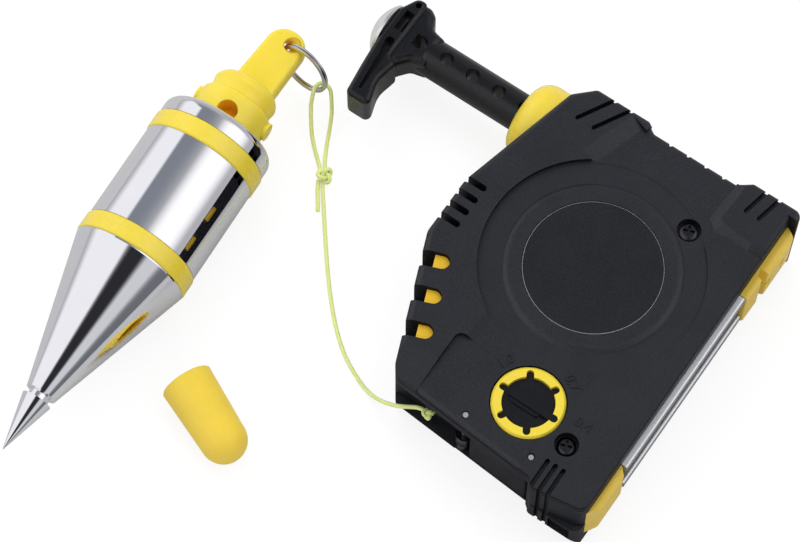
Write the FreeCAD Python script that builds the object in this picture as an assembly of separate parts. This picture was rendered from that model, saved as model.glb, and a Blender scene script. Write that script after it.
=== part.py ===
import FreeCAD, Part
import math
import os

# Plumb-line reel with a magnetic base, pin drive, recoiling line and a 400 g bob.
# Lengths in mm.  Z points out of the reel's front face, the rear face lies at Z = 0,
# the spool turns on the Z axis, and +X points to the base that bears on the column.

V = FreeCAD.Vector

# ---------------------------------------------------------------- driving sizes
# spool and its housing
SPOOL_R = 23.5           # flange and brake-drum radius
SPOOL_GAP = 1.5          # radial room between spool and drum wall
DRUM_WALL = 1.6          # chassis wall round the spool
AXLE_R = 3.0             # fixed arbor
RUN_FIT = 0.06           # radial clearance of every running fit
MOVE_GAP = 0.35          # room between pieces that pass each other
HUB_R = 11.0             # hub that the line is wound on
FLANGE_T = 1.4           # flange and web thickness
CUP_WALL = 1.6           # wall of the cup that holds the recoil spring
CUP_DEPTH = 6.4          # inside depth of that cup
SPRING_COVER_T = 0.5     # disc that closes it
WIND_W = 8.0             # room for the winding between web and flange

# case
CASE_H = 30.5            # rear face to the front panel
GUARD_RISE = 1.5         # the C-shaped guard stands this much proud
PANEL_RISE = 0.5         # the right-hand panel stands this much proud
TOP_PAD_RISE = 1.2       # and the pad at its upper corner
BOSS_R = 6.6             # round field about the upper screw
COVER_T = 2.4            # floor and front wall thickness
SIDE_WALL = 2.2          # side wall thickness
EDGE_R = 2.0             # rounding of the outer edges
PART_Z = 16.0            # parting plane of the two covers, and the rod axis
BASE_REACH = 9.8         # drum wall to the cover's base side
LEFT_REACH = 16.8        # drum wall to the grip side
TOP_REACH = 18.7         # drum wall to the top pads
LOW_REACH = 29.8         # drum wall to the lower lip
PAD_STEP = 1.8           # depth of the recess between the two top pads
LIP_FALL = 3.2           # the lower lip falls by this much towards the base
HEEL_DROP = 5.3          # the lower armour corner hangs this far below the lip
GRIP_PITCH = 4.3         # narrow grip grooves
GRIP_W = 1.9
GRIP_L = 6.8
HEEL_PITCH = 2.5         # grooves of the heel
HEEL_GROOVE = 1.3
HEEL_RISE = 2.3          # the front cover's heel is cut back this much at the base side
WINDOW_PITCH = 10.4      # slots in the slanted side
WINDOW_W = 4.6
WINDOW_L = 8.2
WINDOW_RIB_GAP = 3.7     # outer edge to the yellow rib seen through the slots

# pin drive
ROD_R = 5.7
ROD_HOLE_R = 2.0
ROD_HOLE_PITCH = 8.85
ROD_TRAVEL = 14.0        # stroke that pushes the pins out
COLLAR_R = 12.0
COLLAR_L = 11.4
COLLAR_ROUND = 5.5
O_RING_AT = 6.0          # friction ring's place, width and depth in the collar
O_RING_W = 2.0
O_RING_T = 1.6
ROD_SHOW = 33.2          # free rod between collar and handle head
HEAD_T = 13.2            # thickness of the handle's head
HUB_T = 11.2             # and of the flared hub between head and rod
HEAD_EDGE = 1.6
HEAD_CORE = 3.0          # depth of its cored recesses
HUB_EDGE = 2.6           # rounding of the hub
NECK_HOLE_R = 2.1        # D-shaped hole in the hub
HEAD_BACK = 12.4         # end of the rod's shoulder to the strike face's seat
STEM_R = 2.5
STEM_L = 6.9
CARRIER_SCREW_R = 1.2
SCREW_GRIP = 10.0        # how far that screw goes into the rod
STRIKE_R = 8.1
STRIKE_RISE = 4.2        # height of the strike face's dome
NEEDLE_R = 1.0
NEEDLE_L = 31.0
NEEDLE_SPREAD = 7.0
CARRIER_T = 6.0
CARRIER_ROOM = 8.8       # past the carrier with the pins fully out

# base
FOOT_PROUD = 3.1         # feet stand out of the cover's base side
FOOT_ROUND = 1.8
YOKE_PROUD = 1.8
HORN = 2.4               # the upper corner wraps this far round the upper foot
BASE_LOW_Z = 7.5         # the base pieces lie between these heights
BASE_HIGH_Z = 24.5
YOKE_T = 3.5
BACK_PLATE_T = 1.0
REAR_FALL = 8.0          # the lower side is cut back below this height
REAR_INSET = 3.6         # by this much at the rear face
FOOT_DEPTH = 3.4         # how deep feet and yokes sit in the covers

# dial and brakes
DIAL_R = 10.2
DIAL_INNER_R = 7.3
DIAL_WELL = 3.2
DIAL_TURN = 140.0        # degrees from the first mark to the last
NOTCH_W = 2.1
LABEL_R = 19.4           # bare label disc
WOUND_R = 19.2           # outside of the wound line
SHOE_W = 6.0
SHOE_SWING = 4.8         # degrees the shoe swings over the dial's whole turn
SHOE_H = 4.6
LINING_T = 1.5
SHOE_PIN_R = 1.2
LEVER_ARM_W = 2.4
BUSH_R = 2.2
BUSH_FLANGE = 0.6
LEVER_BOSS_R = 2.3
LEVER_SET = 1.0          # lever's face inside the lip's edge
LEVER_T = 2.1            # its thickness at the free end
PAD_T = 1.4
CARRIER_EDGE = 1.0       # carrier beyond the pins' axes
CARRIER_HALF_Z = 4.5
SHAFT_R = 3.2
CAM_R = 4.8
CAM_OFFSET = 0.453       # the round cam's centre from the dial's axis
CAM_GAP = 0.42           # least room between cam and shoe
PIN_R = 0.75             # guide and lever pins, and their heads
PIN_HEAD_R = 1.05
ROLLER_R = 2.4
ROLLER_L = 7.7
PIN_BOSS = 5.0           # the cover's boss reaches this far down the guide pin
SCREW_R = 1.45
SCREW_HEAD_R = 2.7
WELL_R = 3.4             # wells that the screw heads sit in
WELL_DEPTH = 2.2
POST_R = 3.0

# bob, on its own axis (x from the steel body's top face towards the tip)
BOB_R = 17.15
BOB_BODY_L = 47.6
BOB_CONE_L = 44.5
BOB_TIP_L = 18.6
BOB_TIP_R = 4.4
BOB_SHOULDER = 3.1       # rounding of the body's top edge
TIP_NECK_R = 3.1
TIP_NECK_L = 2.1
TIP_STUD_R = 2.0
TIP_STUD_L = 8.0
BOB_RING_R = 17.5
BOB_RING_W = 5.9
BOB_RING_SEAT = 0.6      # depth of the ring grooves
BOB_BORE_R = 9.2
BOB_BORE_L = 46.0
BOB_TOP = V(-111.4, -19.6, BOB_RING_R)
BOB_LEAN = 3.4           # degrees from -Y towards +X
HEAD_BASE_R = 10.9
HEAD_BELL_R = 9.9
HEAD_BASE_L = 15.6
CROSS_R = 2.6            # boss of the cross pin
CROSS_HALF = 11.7
STRAP_W = 11.6
STRAP_T = 5.5
STRAP_HOLE_R = 1.5
STRAP_HOLE_FLARE = 2.7
STRAP_HOLE_X = -31.2
STRAP_TIP_X = -35.8
STRAP_START = 1.1        # the strap starts this far off the axis
STRAP_LEAN = 4.1         # and leans sideways by these degrees
SIGHT_R = 3.0            # round window over the joint of head and body
SIGHT_X = -2.2

# split ring, tip cap and line
RING_R = 7.8             # mean radius
RING_WIRE_R = 0.8
CAP_R = 7.5
CAP_END_R = 6.7
CAP_L = 27.0
CAP_WALL = 1.7
LINE_D = 1.2
STOP_KNOT_R = 1.45
LOOP_KNOT_R = 2.4

# ---------------------------------------------------------------- derived places
DRUM_IN = SPOOL_R + SPOOL_GAP
DRUM_R = DRUM_IN + DRUM_WALL
BASE_X = DRUM_R + BASE_REACH
LEFT_X = -(DRUM_R + LEFT_REACH)
TOP_Y = DRUM_R + TOP_REACH
LIP_Y = -(DRUM_R + LOW_REACH)
HEEL_Y = LIP_Y - HEEL_DROP
GUARD_Z = CASE_H + GUARD_RISE
CEILING_Z = CASE_H - COVER_T
CHASSIS_T = 1.8
DECK_Z = COVER_T + CHASSIS_T

SPOOL_Z = DECK_Z + 0.8
WEB_Z = SPOOL_Z + CUP_DEPTH
WIND_Z = WEB_Z + FLANGE_T
FLANGE_Z = WIND_Z + WIND_W
SPOOL_TOP_Z = FLANGE_Z + FLANGE_T
LINE_Z = WIND_Z + WIND_W / 2

ROD_Y = DRUM_R + ROD_R + 0.6
COLLAR_X = LEFT_X + 10.0
COLLAR_OUT_X = COLLAR_X - COLLAR_L
HEAD_X = COLLAR_OUT_X - ROD_SHOW
FOOT_X = BASE_X + FOOT_PROUD
YOKE_X = BASE_X + YOKE_PROUD
SEAT_X = BASE_X - FOOT_DEPTH
CARRIER_X = SEAT_X - SIDE_WALL - CARRIER_ROOM - ROD_TRAVEL - CARRIER_T
NEEDLE_X = CARRIER_X + CARRIER_T - 1.0

FOOT_SPANS = [(TOP_Y - 26.9, TOP_Y - 2.5), (HEEL_Y + 4.0, LIP_Y + 15.5)]      # along Y
HORN_Y = TOP_Y - 2.3
YOKE_SPAN = (FOOT_SPANS[1][1] + 0.2, FOOT_SPANS[0][0] - 0.2)
CARRIER_HALF_Y = NEEDLE_SPREAD / 2 + CARRIER_EDGE
CHANNEL = ROD_R + MOVE_GAP       # half width of the room the rod slides in
AXLE_TOP_Z = CEILING_Z + 0.8
CAM_Z = SPOOL_Z + 0.9
ARM_Z = 7.55
ARM_H = 4.4
ARM_Y = -(SPOOL_R + 3.35)
RING_STARTS = [6.2, BOB_BODY_L - BOB_RING_W]

DISC_R = DRUM_R + 4.6            # dished face round the label
DIAL = V(BASE_X - 29.35, -(DRUM_R + 15.6), 0)
SCREWS = [V(BASE_X - 20.95, TOP_Y - 21.04, 0), V(BASE_X - 14.3, HEEL_Y + 15.25, 0)]
GUIDE_PIN = V(DIAL.x - 11.95, LIP_Y + 1.8, 0)
LEVER_PIN = V(BASE_X - 20.2, LIP_Y + 1.8, 0)
SHOE_PIN = V(DIAL.x + 9.6, -(DRUM_R + 4.6), 0)
LEVER_ARM_X = (GUIDE_PIN.x + 3.1, GUIDE_PIN.x + 3.1 + LEVER_ARM_W)
RECESS_Y = LIP_Y + 3.2           # back wall of the lever recess
RECESS_LOW_Z = 7.0
RECESS_HIGH_Z = 26.0

SLANT_TOP = V(LEFT_X, 10.1 - DRUM_R, 0)
SLANT_END = V(LEFT_X + 14.6, RECESS_Y, 0)
EXIT = V(SLANT_END.x + 13.2, RECESS_Y, 14.0)
STOP_KNOT = V(EXIT.x - 0.9, EXIT.y - 2.2, EXIT.z)
TABLET = V(LEFT_X + 23.7, LIP_Y + 20.4, 0)     # upper outer corner of the field by the dial
LIP_START = V(SLANT_END.x + 2.4, LIP_Y, 0)
LIP_END = V(BASE_X - 18.0, LIP_Y - LIP_FALL, 0)
SLANT_DIR = (SLANT_END - SLANT_TOP).normalize()
SLANT_IN = V(-SLANT_DIR.y, SLANT_DIR.x, 0)


# ---------------------------------------------------------------- shape helpers
def box(x0, x1, y0, y1, z0, z1):
    return Part.makeBox(x1 - x0, y1 - y0, z1 - z0, V(x0, y0, z0))


def cyl(base, radius, length, axis=V(0, 0, 1)):
    return Part.makeCylinder(radius, length, base, axis)


def at(point, z):
    return V(point.x, point.y, z)


def rounded_wire(corners, z=0.0):
    """Closed outline in a Z plane from (x, y, corner radius) triples."""
    count = len(corners)
    starts = []
    ends = []
    middles = []
    for i in range(count):
        x, y, radius = corners[i]
        here = V(x, y, z)
        before = V(corners[i - 1][0], corners[i - 1][1], z)
        after = V(corners[(i + 1) % count][0], corners[(i + 1) % count][1], z)
        u = (before - here).normalize()
        w = (after - here).normalize()
        half = u.getAngle(w) / 2
        if radius <= 0:
            starts.append(here)
            ends.append(here)
            middles.append(None)
            continue
        reach = radius / math.tan(half)
        bisector = (u + w).normalize()
        centre = here + bisector * (radius / math.sin(half))
        starts.append(here + u * reach)
        ends.append(here + w * reach)
        middles.append(centre - bisector * radius)
    edges = []
    for i in range(count):
        if middles[i]:
            edges.append(Part.Arc(starts[i], middles[i], ends[i]).toShape())
        follow = starts[(i + 1) % count]
        if ends[i].distanceToPoint(follow) > 1e-6:
            edges.append(Part.LineSegment(ends[i], follow).toShape())
    return Part.Wire(edges)


def prism(corners, z0, z1):
    face = Part.Face(rounded_wire(corners, z0))
    return face.extrude(V(0, 0, z1 - z0))


def slot(start, end, width, z0, z1):
    """Stadium-shaped prism between the centres start and end."""
    run = (end - start).normalize()
    side = V(-run.y, run.x, 0) * (width / 2)
    a = at(start, z0)
    b = at(end, z0)
    edges = [Part.LineSegment(a + side, b + side).toShape(),
             Part.Arc(b + side, b + run * (width / 2), b - side).toShape(),
             Part.LineSegment(b - side, a - side).toShape(),
             Part.Arc(a - side, a - run * (width / 2), a + side).toShape()]
    return Part.Face(Part.Wire(edges)).extrude(V(0, 0, z1 - z0))


def turned(profile, centre=V(0, 0, 0), axis=V(0, 0, 1)):
    """Solid of revolution from (along, radius) pairs, or (along, radius, through) arcs.

    An entry with a third item, an (along, radius) pair, is reached by an arc through it.
    """
    side = V(1, 0, 0)
    if abs(axis.dot(side)) > 0.9:
        side = V(0, 1, 0)
    side = (side - axis * side.dot(axis)).normalize()

    def place(along, radius):
        return centre + axis * along + side * radius

    edges = []
    last = place(profile[-1][0], profile[-1][1])
    for item in profile:
        here = place(item[0], item[1])
        if here.distanceToPoint(last) > 1e-6:
            if len(item) > 2:
                mid = place(item[2][0], item[2][1])
                edges.append(Part.Arc(last, mid, here).toShape())
            else:
                edges.append(Part.LineSegment(last, here).toShape())
        last = here
    face = Part.Face(Part.Wire(edges))
    return face.revolve(centre, axis, 360)


def join(shapes):
    body = shapes[0]
    for other in shapes[1:]:
        body = body.fuse(other)
    return body.removeSplitter()


def cut(body, tools):
    for tool in tools:
        body = body.cut(tool)
    return body


def soften(body, pick, radius):
    """Rounds the edges that pick(edge) accepts."""
    edges = [e for e in body.Edges if pick(e)]
    return body.makeFillet(radius, edges)


def edge_z(edge):
    box_of = edge.BoundBox
    return box_of.ZMin, box_of.ZMax


def cord_path(points):
    """Straight runs joined by tangent arcs; returns edges, radii and the route's length."""
    starts = [None] * len(points)
    ends = [None] * len(points)
    arcs = [None] * len(points)
    radii = []
    for i in range(1, len(points) - 1):
        back = points[i - 1] - points[i]
        ahead = points[i + 1] - points[i]
        turn = math.pi - back.getAngle(ahead)
        reach = 0.45 * min(back.Length, ahead.Length)
        radius = reach / math.tan(turn / 2)
        u = back.normalize()
        w = ahead.normalize()
        starts[i] = points[i] + u * reach
        ends[i] = points[i] + w * reach
        bisector = (u + w).normalize()
        arcs[i] = starts[i], points[i] + bisector * (radius / math.cos(turn / 2) - radius), ends[i]
        radii.append(radius)
    edges = []
    here = points[0]
    for i in range(1, len(points) - 1):
        edges.append(Part.LineSegment(here, starts[i]).toShape())
        edges.append(Part.Arc(*arcs[i]).toShape())
        here = ends[i]
    edges.append(Part.LineSegment(here, points[-1]).toShape())
    return edges, radii, sum(e.Length for e in edges)


def cord(name, points, diameter):
    edges, radii, length = cord_path(points)
    path = Part.Wire(edges)
    tangent = edges[0].tangentAt(edges[0].FirstParameter)
    ring = Part.Wire([Part.Circle(points[0], tangent, diameter / 2).toShape()])
    tube = path.makePipeShell([ring], True, True)
    full = math.pi * diameter ** 2 / 4 * length
    print(name, "length %.1f" % length, "least radius %.1f" % min(radii),
          "radii", ["%.1f" % r for r in radii], "volume ratio %.4f" % (tube.Volume / full))
    return tube


# ---------------------------------------------------------------- case
def case_outline(heel_rise=0.0):
    """Outline of both covers; the front one's heel rises towards the base side."""
    recess_y = TOP_Y - PAD_STEP
    return [(BASE_X, HEEL_Y + heel_rise, 3.0),
            (BASE_X, TOP_Y + 0.6, 2.5),
            (BASE_X - 13.6, TOP_Y + 0.6, 1.2),
            (BASE_X - 16.8, recess_y, 1.5),
            (BASE_X - 44.6, recess_y, 1.5),
            (BASE_X - 47.4, TOP_Y, 1.2),
            (COLLAR_X + 5.2, TOP_Y, 2.0),
            (COLLAR_X - 0.4, TOP_Y - 5.4, 3.0),
            (LEFT_X, 2.0, 8.0),
            (SLANT_TOP.x, SLANT_TOP.y, 4.0),
            (SLANT_END.x, SLANT_END.y, 4.0),
            (LIP_START.x, LIP_START.y, 2.0),
            (LIP_END.x, LIP_END.y, 1.5),
            (BASE_X - 15.4, HEEL_Y, 1.0)]


def horn(z0, z1, rounded=False):
    """Upper armour corner, wrapped round the end of the upper foot."""
    body = prism([(BASE_X - 5, HORN_Y, 0), (BASE_X + HORN, HORN_Y, 0),
                  (BASE_X + HORN, TOP_Y + 0.6, 2.4), (BASE_X - 5, TOP_Y + 0.6, 0)], z0, z1)
    if not rounded:
        return body
    top = [e for e in body.Edges if min(edge_z(e)) > z1 - 0.01
           and e.BoundBox.XMax > BASE_X - 4 and e.BoundBox.YMax > HORN_Y + 0.1]
    return body.makeFillet(1.6, top)


def raised(low, high, z0, z1):
    """Solid with sloped flanks between two outlines of as many corners."""
    return Part.makeLoft([rounded_wire(low, z0), rounded_wire(high, z1)], True, True)


def cavity_outline():
    """Room inside both covers; thick where the grips, slots and recesses are cut."""
    inner = SIDE_WALL + 0.1
    left = LEFT_X + GRIP_L + SIDE_WALL
    rib = SLANT_IN * WINDOW_RIB_GAP
    top = SLANT_TOP + rib
    end = SLANT_END + rib
    upper = top + SLANT_DIR * 3.6
    low = RECESS_Y + SIDE_WALL
    along = (low - top.y) / (end.y - top.y)
    slant_low = top + (end - top) * along
    seat = SEAT_X - SIDE_WALL
    return [(seat, HEEL_Y + inner, 1.0),
            (seat, TOP_Y - PAD_STEP - inner, 1.0),
            (COLLAR_X + inner, TOP_Y - PAD_STEP - inner, 1.0),
            (COLLAR_X + inner, ROD_Y - COLLAR_R - 1.0, 1.0),
            (left, 6.0, 1.0),
            (left, top.y + 1.0, 1.0),
            (upper.x, upper.y, 0.5),
            (slant_low.x, slant_low.y, 1.0),
            (LEVER_PIN.x + 2.6, low, 1.0),
            (LEVER_PIN.x + 4.6, HEEL_Y + inner, 1.0)]


def window_slots(width, out, z0, z1):
    """Three slots from the slanted side inward, round at the inner end."""
    tools = []
    first = SLANT_TOP + SLANT_DIR * 8.4
    for i in range(3):
        mouth = first + SLANT_DIR * (WINDOW_PITCH * i)
        inner = mouth + SLANT_IN * (WINDOW_L - WINDOW_W / 2)
        tools.append(slot(mouth - SLANT_IN * out, inner, width, z0, z1))
    return tools


def grip_cuts(z0, z1):
    """Four narrow finger grooves across the grip side."""
    tools = []
    for i in range(4):
        y = 2.1 - GRIP_PITCH * i
        inner = V(LEFT_X + GRIP_L - GRIP_W / 2, y, 0)
        tools.append(slot(V(LEFT_X - 4, y, 0), inner, GRIP_W, z0, z1))
    return tools


def lip_y(x):
    """Outer edge of the lower lip at x."""
    along = (x - LIP_START.x) / (LIP_END.x - LIP_START.x)
    return LIP_START.y + (LIP_END.y - LIP_START.y) * along


def lever_recess():
    """Recess of the brake lever and of the line's exit along the lower side."""
    room = prism([(SLANT_END.x - 6, RECESS_Y, 0),
                  (SLANT_END.x - 6, LIP_Y - 20, 0),
                  (BASE_X - 17.6, LIP_Y - 20, 0),
                  (BASE_X - 17.6, RECESS_Y, 2.0)], RECESS_LOW_Z, RECESS_HIGH_Z)
    tall = RECESS_HIGH_Z - RECESS_LOW_Z
    for pin, radius in ((GUIDE_PIN, ROLLER_R + 0.5), (LEVER_PIN, LEVER_BOSS_R + 0.4)):
        room = room.fuse(cyl(at(pin, RECESS_LOW_Z), radius, tall))
    return room.cut(cyl(at(GUIDE_PIN, RECESS_HIGH_Z - PIN_BOSS), PIN_HEAD_R + 0.8, PIN_BOSS + 1))


def rear_bevel(start, end, inset, height):
    """Wedge that draws the side between start and end in towards the rear face."""
    run = (end - start).normalize()
    out = V(run.y, -run.x, 0)
    deep = inset * 1.5
    low = -height * 0.5
    corners = [at(start, height), at(start + out * 20, height), at(start + out * 20, low),
               at(start - out * deep, low)]
    edges = [Part.LineSegment(corners[i - 1], corners[i]).toShape() for i in range(4)]
    return Part.Face(Part.Wire(edges)).extrude(end - start)


def rear_bevels():
    lip_far = V(BASE_X - 16.4, lip_y(BASE_X - 16.4), 0)
    heel = rear_bevel(V(BASE_X - 30, HEEL_Y, 0), V(BASE_X + 10, HEEL_Y, 0), REAR_INSET, REAR_FALL)
    rim = prism([(GUIDE_PIN.x - 1.3, lip_y(GUIDE_PIN.x) + LEVER_SET, 0), (GUIDE_PIN.x - 1.3, LIP_Y - 20, 0),
                 (BASE_X - 17.6, LIP_Y - 20, 0), (BASE_X - 17.6, lip_y(BASE_X - 17.6) + LEVER_SET, 0)],
                -1, RECESS_LOW_Z)
    return [rear_bevel(V(LIP_START.x - 8, lip_y(LIP_START.x - 8), 0), lip_far, REAR_INSET, REAR_FALL),
            heel, rim]


def rod_channel():
    """Room for the rod's end and the needle carrier."""
    return box(CARRIER_X - MOVE_GAP, SEAT_X - SIDE_WALL, ROD_Y - CHANNEL, ROD_Y + CHANNEL,
               PART_Z - CHANNEL, PART_Z + CHANNEL)


def needle_holes():
    tools = []
    for side in (-1, 1):
        start = V(SEAT_X - SIDE_WALL - 1, ROD_Y + side * NEEDLE_SPREAD / 2, PART_Z)
        tools.append(cyl(start, NEEDLE_R + 0.3, 40, V(1, 0, 0)))
    return tools


def base_pockets():
    """Seats of the two feet and of the magnet block in the base side."""
    return box(SEAT_X, BASE_X + 10, FOOT_SPANS[1][0], FOOT_SPANS[0][1], BASE_LOW_Z, BASE_HIGH_Z)


def collar_cut():
    end = cyl(V(COLLAR_X - 20, ROD_Y, PART_Z), COLLAR_R, 20, V(1, 0, 0))
    spigot = cyl(V(COLLAR_X, ROD_Y, PART_Z), COLLAR_R - 2, 8, V(1, 0, 0))
    return [end, spigot]


def corner_grooves(z0, z1):
    """Raked grooves on the two top pads, and ones down the heel."""
    tools = []
    for i in range(2):
        x = COLLAR_X + 5.4 + 5.4 * i
        tools.append(slot(V(x, TOP_Y - 10.8, 0), V(x + 6.6, TOP_Y + 1, 0), 1.3, z0, z1))
        x = BASE_X - 11.0 + 4.2 * i
        tools.append(slot(V(x, TOP_Y - 7.8, 0), V(x + 1.9, TOP_Y + 1, 0), 1.3, z0, z1))
    for i in range(3):
        x = BASE_X - 15.9 + HEEL_PITCH * i
        tools.append(slot(V(x, HEEL_Y + 8.6, 0), V(x + 0.2, HEEL_Y - 3, 0), HEEL_GROOVE, z0 - 0.5, z1))
    return tools


def heel_grooves(z0, z1):
    """The heel's grooves run on down its lower side."""
    tools = []
    for i in range(1, 3):
        x = BASE_X - 15.9 + 0.2 + HEEL_PITCH * i
        tools.append(box(x - HEEL_GROOVE / 2, x + HEEL_GROOVE / 2, HEEL_Y - 2, HEEL_Y + 1.3, z0, z1))
    return tools


def recess_notches(z0, z1):
    """Four thumb notches along the recess between the top pads."""
    y = TOP_Y - PAD_STEP
    first = BASE_X - 39.1
    return [slot(V(first + 5.8 * i, y - 0.5, 0), V(first + 5.8 * i + 0.9, y + 3, 0), 1.2, z0, z1)
            for i in range(4)]


def heel_pocket():
    """Long pocket in the heel's lower side, under the front cover's edge."""
    return box(BASE_X - 9.4, BASE_X - 2.6, HEEL_Y - 2, HEEL_Y + 1.2, PART_Z - 7.5, PART_Z - 0.8)


def disc_face():
    """Soft annular dish round the label, turned about the spool axis."""
    low = CASE_H - COVER_T
    return turned([(low, 0), (CASE_H + 0.3, 0), (CASE_H + 0.3, LABEL_R + 0.2),
                   (CASE_H + 0.8, LABEL_R + 0.2), (CASE_H + 0.8, LABEL_R + 3.4),
                   (CASE_H - 0.1, LABEL_R + 5.6, (CASE_H + 0.45, LABEL_R + 4.9)),
                   (CASE_H - 0.1, DISC_R), (low, DISC_R)])


def front_relief():
    """Guard on the grip side, panel on the base side and its raised corner pad."""
    outline = Part.Face(rounded_wire(case_outline(HEEL_RISE), CASE_H - 1)).extrude(V(0, 0, 6))
    low = CASE_H - 1
    corner = V(-15.2, 0, 0)
    guard = prism([(BASE_X - 44.6, TOP_Y + 9, 0), (LEFT_X - 5, TOP_Y + 9, 0),
                   (LEFT_X - 5, LIP_Y - 9, 0), (TABLET.x, LIP_Y - 9, 0), (TABLET.x, TABLET.y, 2.4),
                   (corner.x, TABLET.y, 0.6), (corner.x, -27.0, 0), (0, 0, 0), (-15.0, 28.4, 0),
                   (-10.6, 38.5, 3.0)], low, GUARD_Z)
    guard = guard.cut(cyl(V(0, 0, CASE_H - 2), DISC_R + 0.6, 10))
    guard = guard.cut(slope(V(-11.4, 42.5, 0), V(-17.0, 26.0, 0), 4.6, GUARD_RISE))
    guard = guard.cut(slope(V(corner.x, -26.0, 0), V(corner.x, TABLET.y, 0), 1.6, GUARD_RISE))
    guard = guard.cut(slope(V(TABLET.x + 3, LIP_Y + 0.5, 0), V(LEFT_X - 5, LIP_Y + 0.5, 0), 10.0,
                            GUARD_RISE))
    edge = cyl(V(0, 0, CASE_H - 2), DISC_R - 0.7, 10)
    field = cyl(at(SCREWS[0], CASE_H - 2), BOSS_R, 10)
    panel = prism([(18.3, -23.7, 0), (0, 0, 0), (21.2, 21.2, 0), (BASE_X - 12.4, TOP_Y - 17.3, 0),
                   (BASE_X + 9, TOP_Y - 17.3, 0), (BASE_X + 9, LIP_Y - 14, 0),
                   (DIAL.x + 8.2, LIP_Y - 14, 0), (DIAL.x + 8.2, DIAL.y - 8.8, 0),
                   (DIAL.x + 9.4, DIAL.y + 5.6, 0)], low, CASE_H + PANEL_RISE)
    foot_line = [(BASE_X - 16.9, TOP_Y + 9, 0), (BASE_X - 18.2, TOP_Y - 15.1, 0),
                 (BASE_X - 15.1, TOP_Y - 17.3, 0), (BASE_X - 4.3, TOP_Y - 18.3, 0),
                 (BASE_X + 9, TOP_Y - 14.0, 0), (BASE_X + 9, TOP_Y + 9, 0)]
    top_line = [(BASE_X - 14.3, TOP_Y + 9, 0), (BASE_X - 15.4, TOP_Y - 13.6, 0),
                (BASE_X - 13.8, TOP_Y - 14.4, 0), (BASE_X - 4.6, TOP_Y - 15.2, 0),
                (BASE_X + 9, TOP_Y - 11.2, 0), (BASE_X + 9, TOP_Y + 9, 0)]
    pad = raised(foot_line, top_line, CASE_H, CASE_H + TOP_PAD_RISE)
    pad = pad.fuse(prism(foot_line, low, CASE_H))
    plates = []
    for plate in (guard, panel.cut(edge).cut(field), pad.cut(edge).cut(field)):
        plates.append(plate.common(outline))
    return plates


def slope(start, end, width, drop):
    """Wedge that bevels the guard down by drop, from the line start-end inwards over width."""
    run = (end - start).normalize()
    inward = V(run.y, -run.x, 0)
    foot = at(start, GUARD_Z - drop)
    edges = [foot, at(start + inward * width, GUARD_Z), at(start + inward * width, GUARD_Z + 2),
             at(start - inward * 3, GUARD_Z + 2), at(start - inward * 3, GUARD_Z - drop)]
    wire = Part.makePolygon(edges + [foot])
    return Part.Face(wire).extrude(end - start)


def screw_wells(z_top):
    tools = []
    for spot in SCREWS:
        tools.append(cyl(at(spot, CASE_H - WELL_DEPTH), WELL_R, 8))
        tools.append(cyl(at(spot, PART_Z - 1), SCREW_R + 0.15, z_top))
    return tools


def front_cover():
    shell = prism(case_outline(HEEL_RISE), PART_Z, CASE_H)
    shell = soften(shell, lambda e: min(edge_z(e)) > CASE_H - 0.01, EDGE_R)
    crown = join([shell] + front_relief())
    limit = prism(case_outline(HEEL_RISE), PART_Z, GUARD_Z)
    limit = soften(limit, lambda e: min(edge_z(e)) > GUARD_Z - 0.01, EDGE_R)
    crown = crown.common(limit)
    crown = crown.fuse(horn(PART_Z, CASE_H + TOP_PAD_RISE, True))
    crown = crown.cut(cyl(V(0, 0, CEILING_Z), DISC_R, 10)).fuse(disc_face())
    hollow = prism(cavity_outline(), PART_Z - 1, CEILING_Z)
    crown = crown.cut(hollow)
    posts = [cyl(at(s, PART_Z), POST_R, CASE_H - PART_Z - WELL_DEPTH) for s in SCREWS]
    posts += [cyl(at(s, CEILING_Z - 1.2), WELL_R + 0.8, 1.3) for s in SCREWS]
    posts.append(cyl(V(0, 0, SPOOL_TOP_Z + 0.8), AXLE_R + 2.2, CASE_H - SPOOL_TOP_Z - 1))
    well_floor = CASE_H - DIAL_WELL
    posts.append(cyl(at(DIAL, well_floor - COVER_T), DIAL_R + 2.4, COVER_T + 0.1).common(
        prism(cavity_outline(), 0, CASE_H)))
    for post in posts:
        crown = crown.fuse(post)
    tools = window_slots(WINDOW_W, 6, PART_Z + 2, CASE_H + 5) + grip_cuts(PART_Z + 2, CASE_H + 5)
    tools += corner_grooves(CASE_H - 1.2, CASE_H + 5) + heel_grooves(PART_Z - 1, CASE_H + 5)
    tools += recess_notches(CASE_H - 5, CASE_H + 5)
    tools += [lever_recess(), base_pockets(), rod_channel()] + collar_cut()
    tools += screw_wells(40) + needle_holes()
    tools.append(cyl(at(DIAL, well_floor), DIAL_R + MOVE_GAP, 10))
    tools.append(cyl(at(DIAL, well_floor - 5), SHAFT_R + RUN_FIT, 10))
    tools.append(cyl(V(0, 0, SPOOL_TOP_Z), AXLE_R, AXLE_TOP_Z - SPOOL_TOP_Z))
    for pin in (GUIDE_PIN, LEVER_PIN):
        tools.append(cyl(at(pin, RECESS_HIGH_Z - PIN_BOSS - 1), PIN_R, 20))
        tools.append(cyl(at(pin, CASE_H - 1.2), PIN_HEAD_R, 5))
    tools += [lever_slot(), exit_bore()]
    return cut(crown, tools).removeSplitter()


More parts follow.
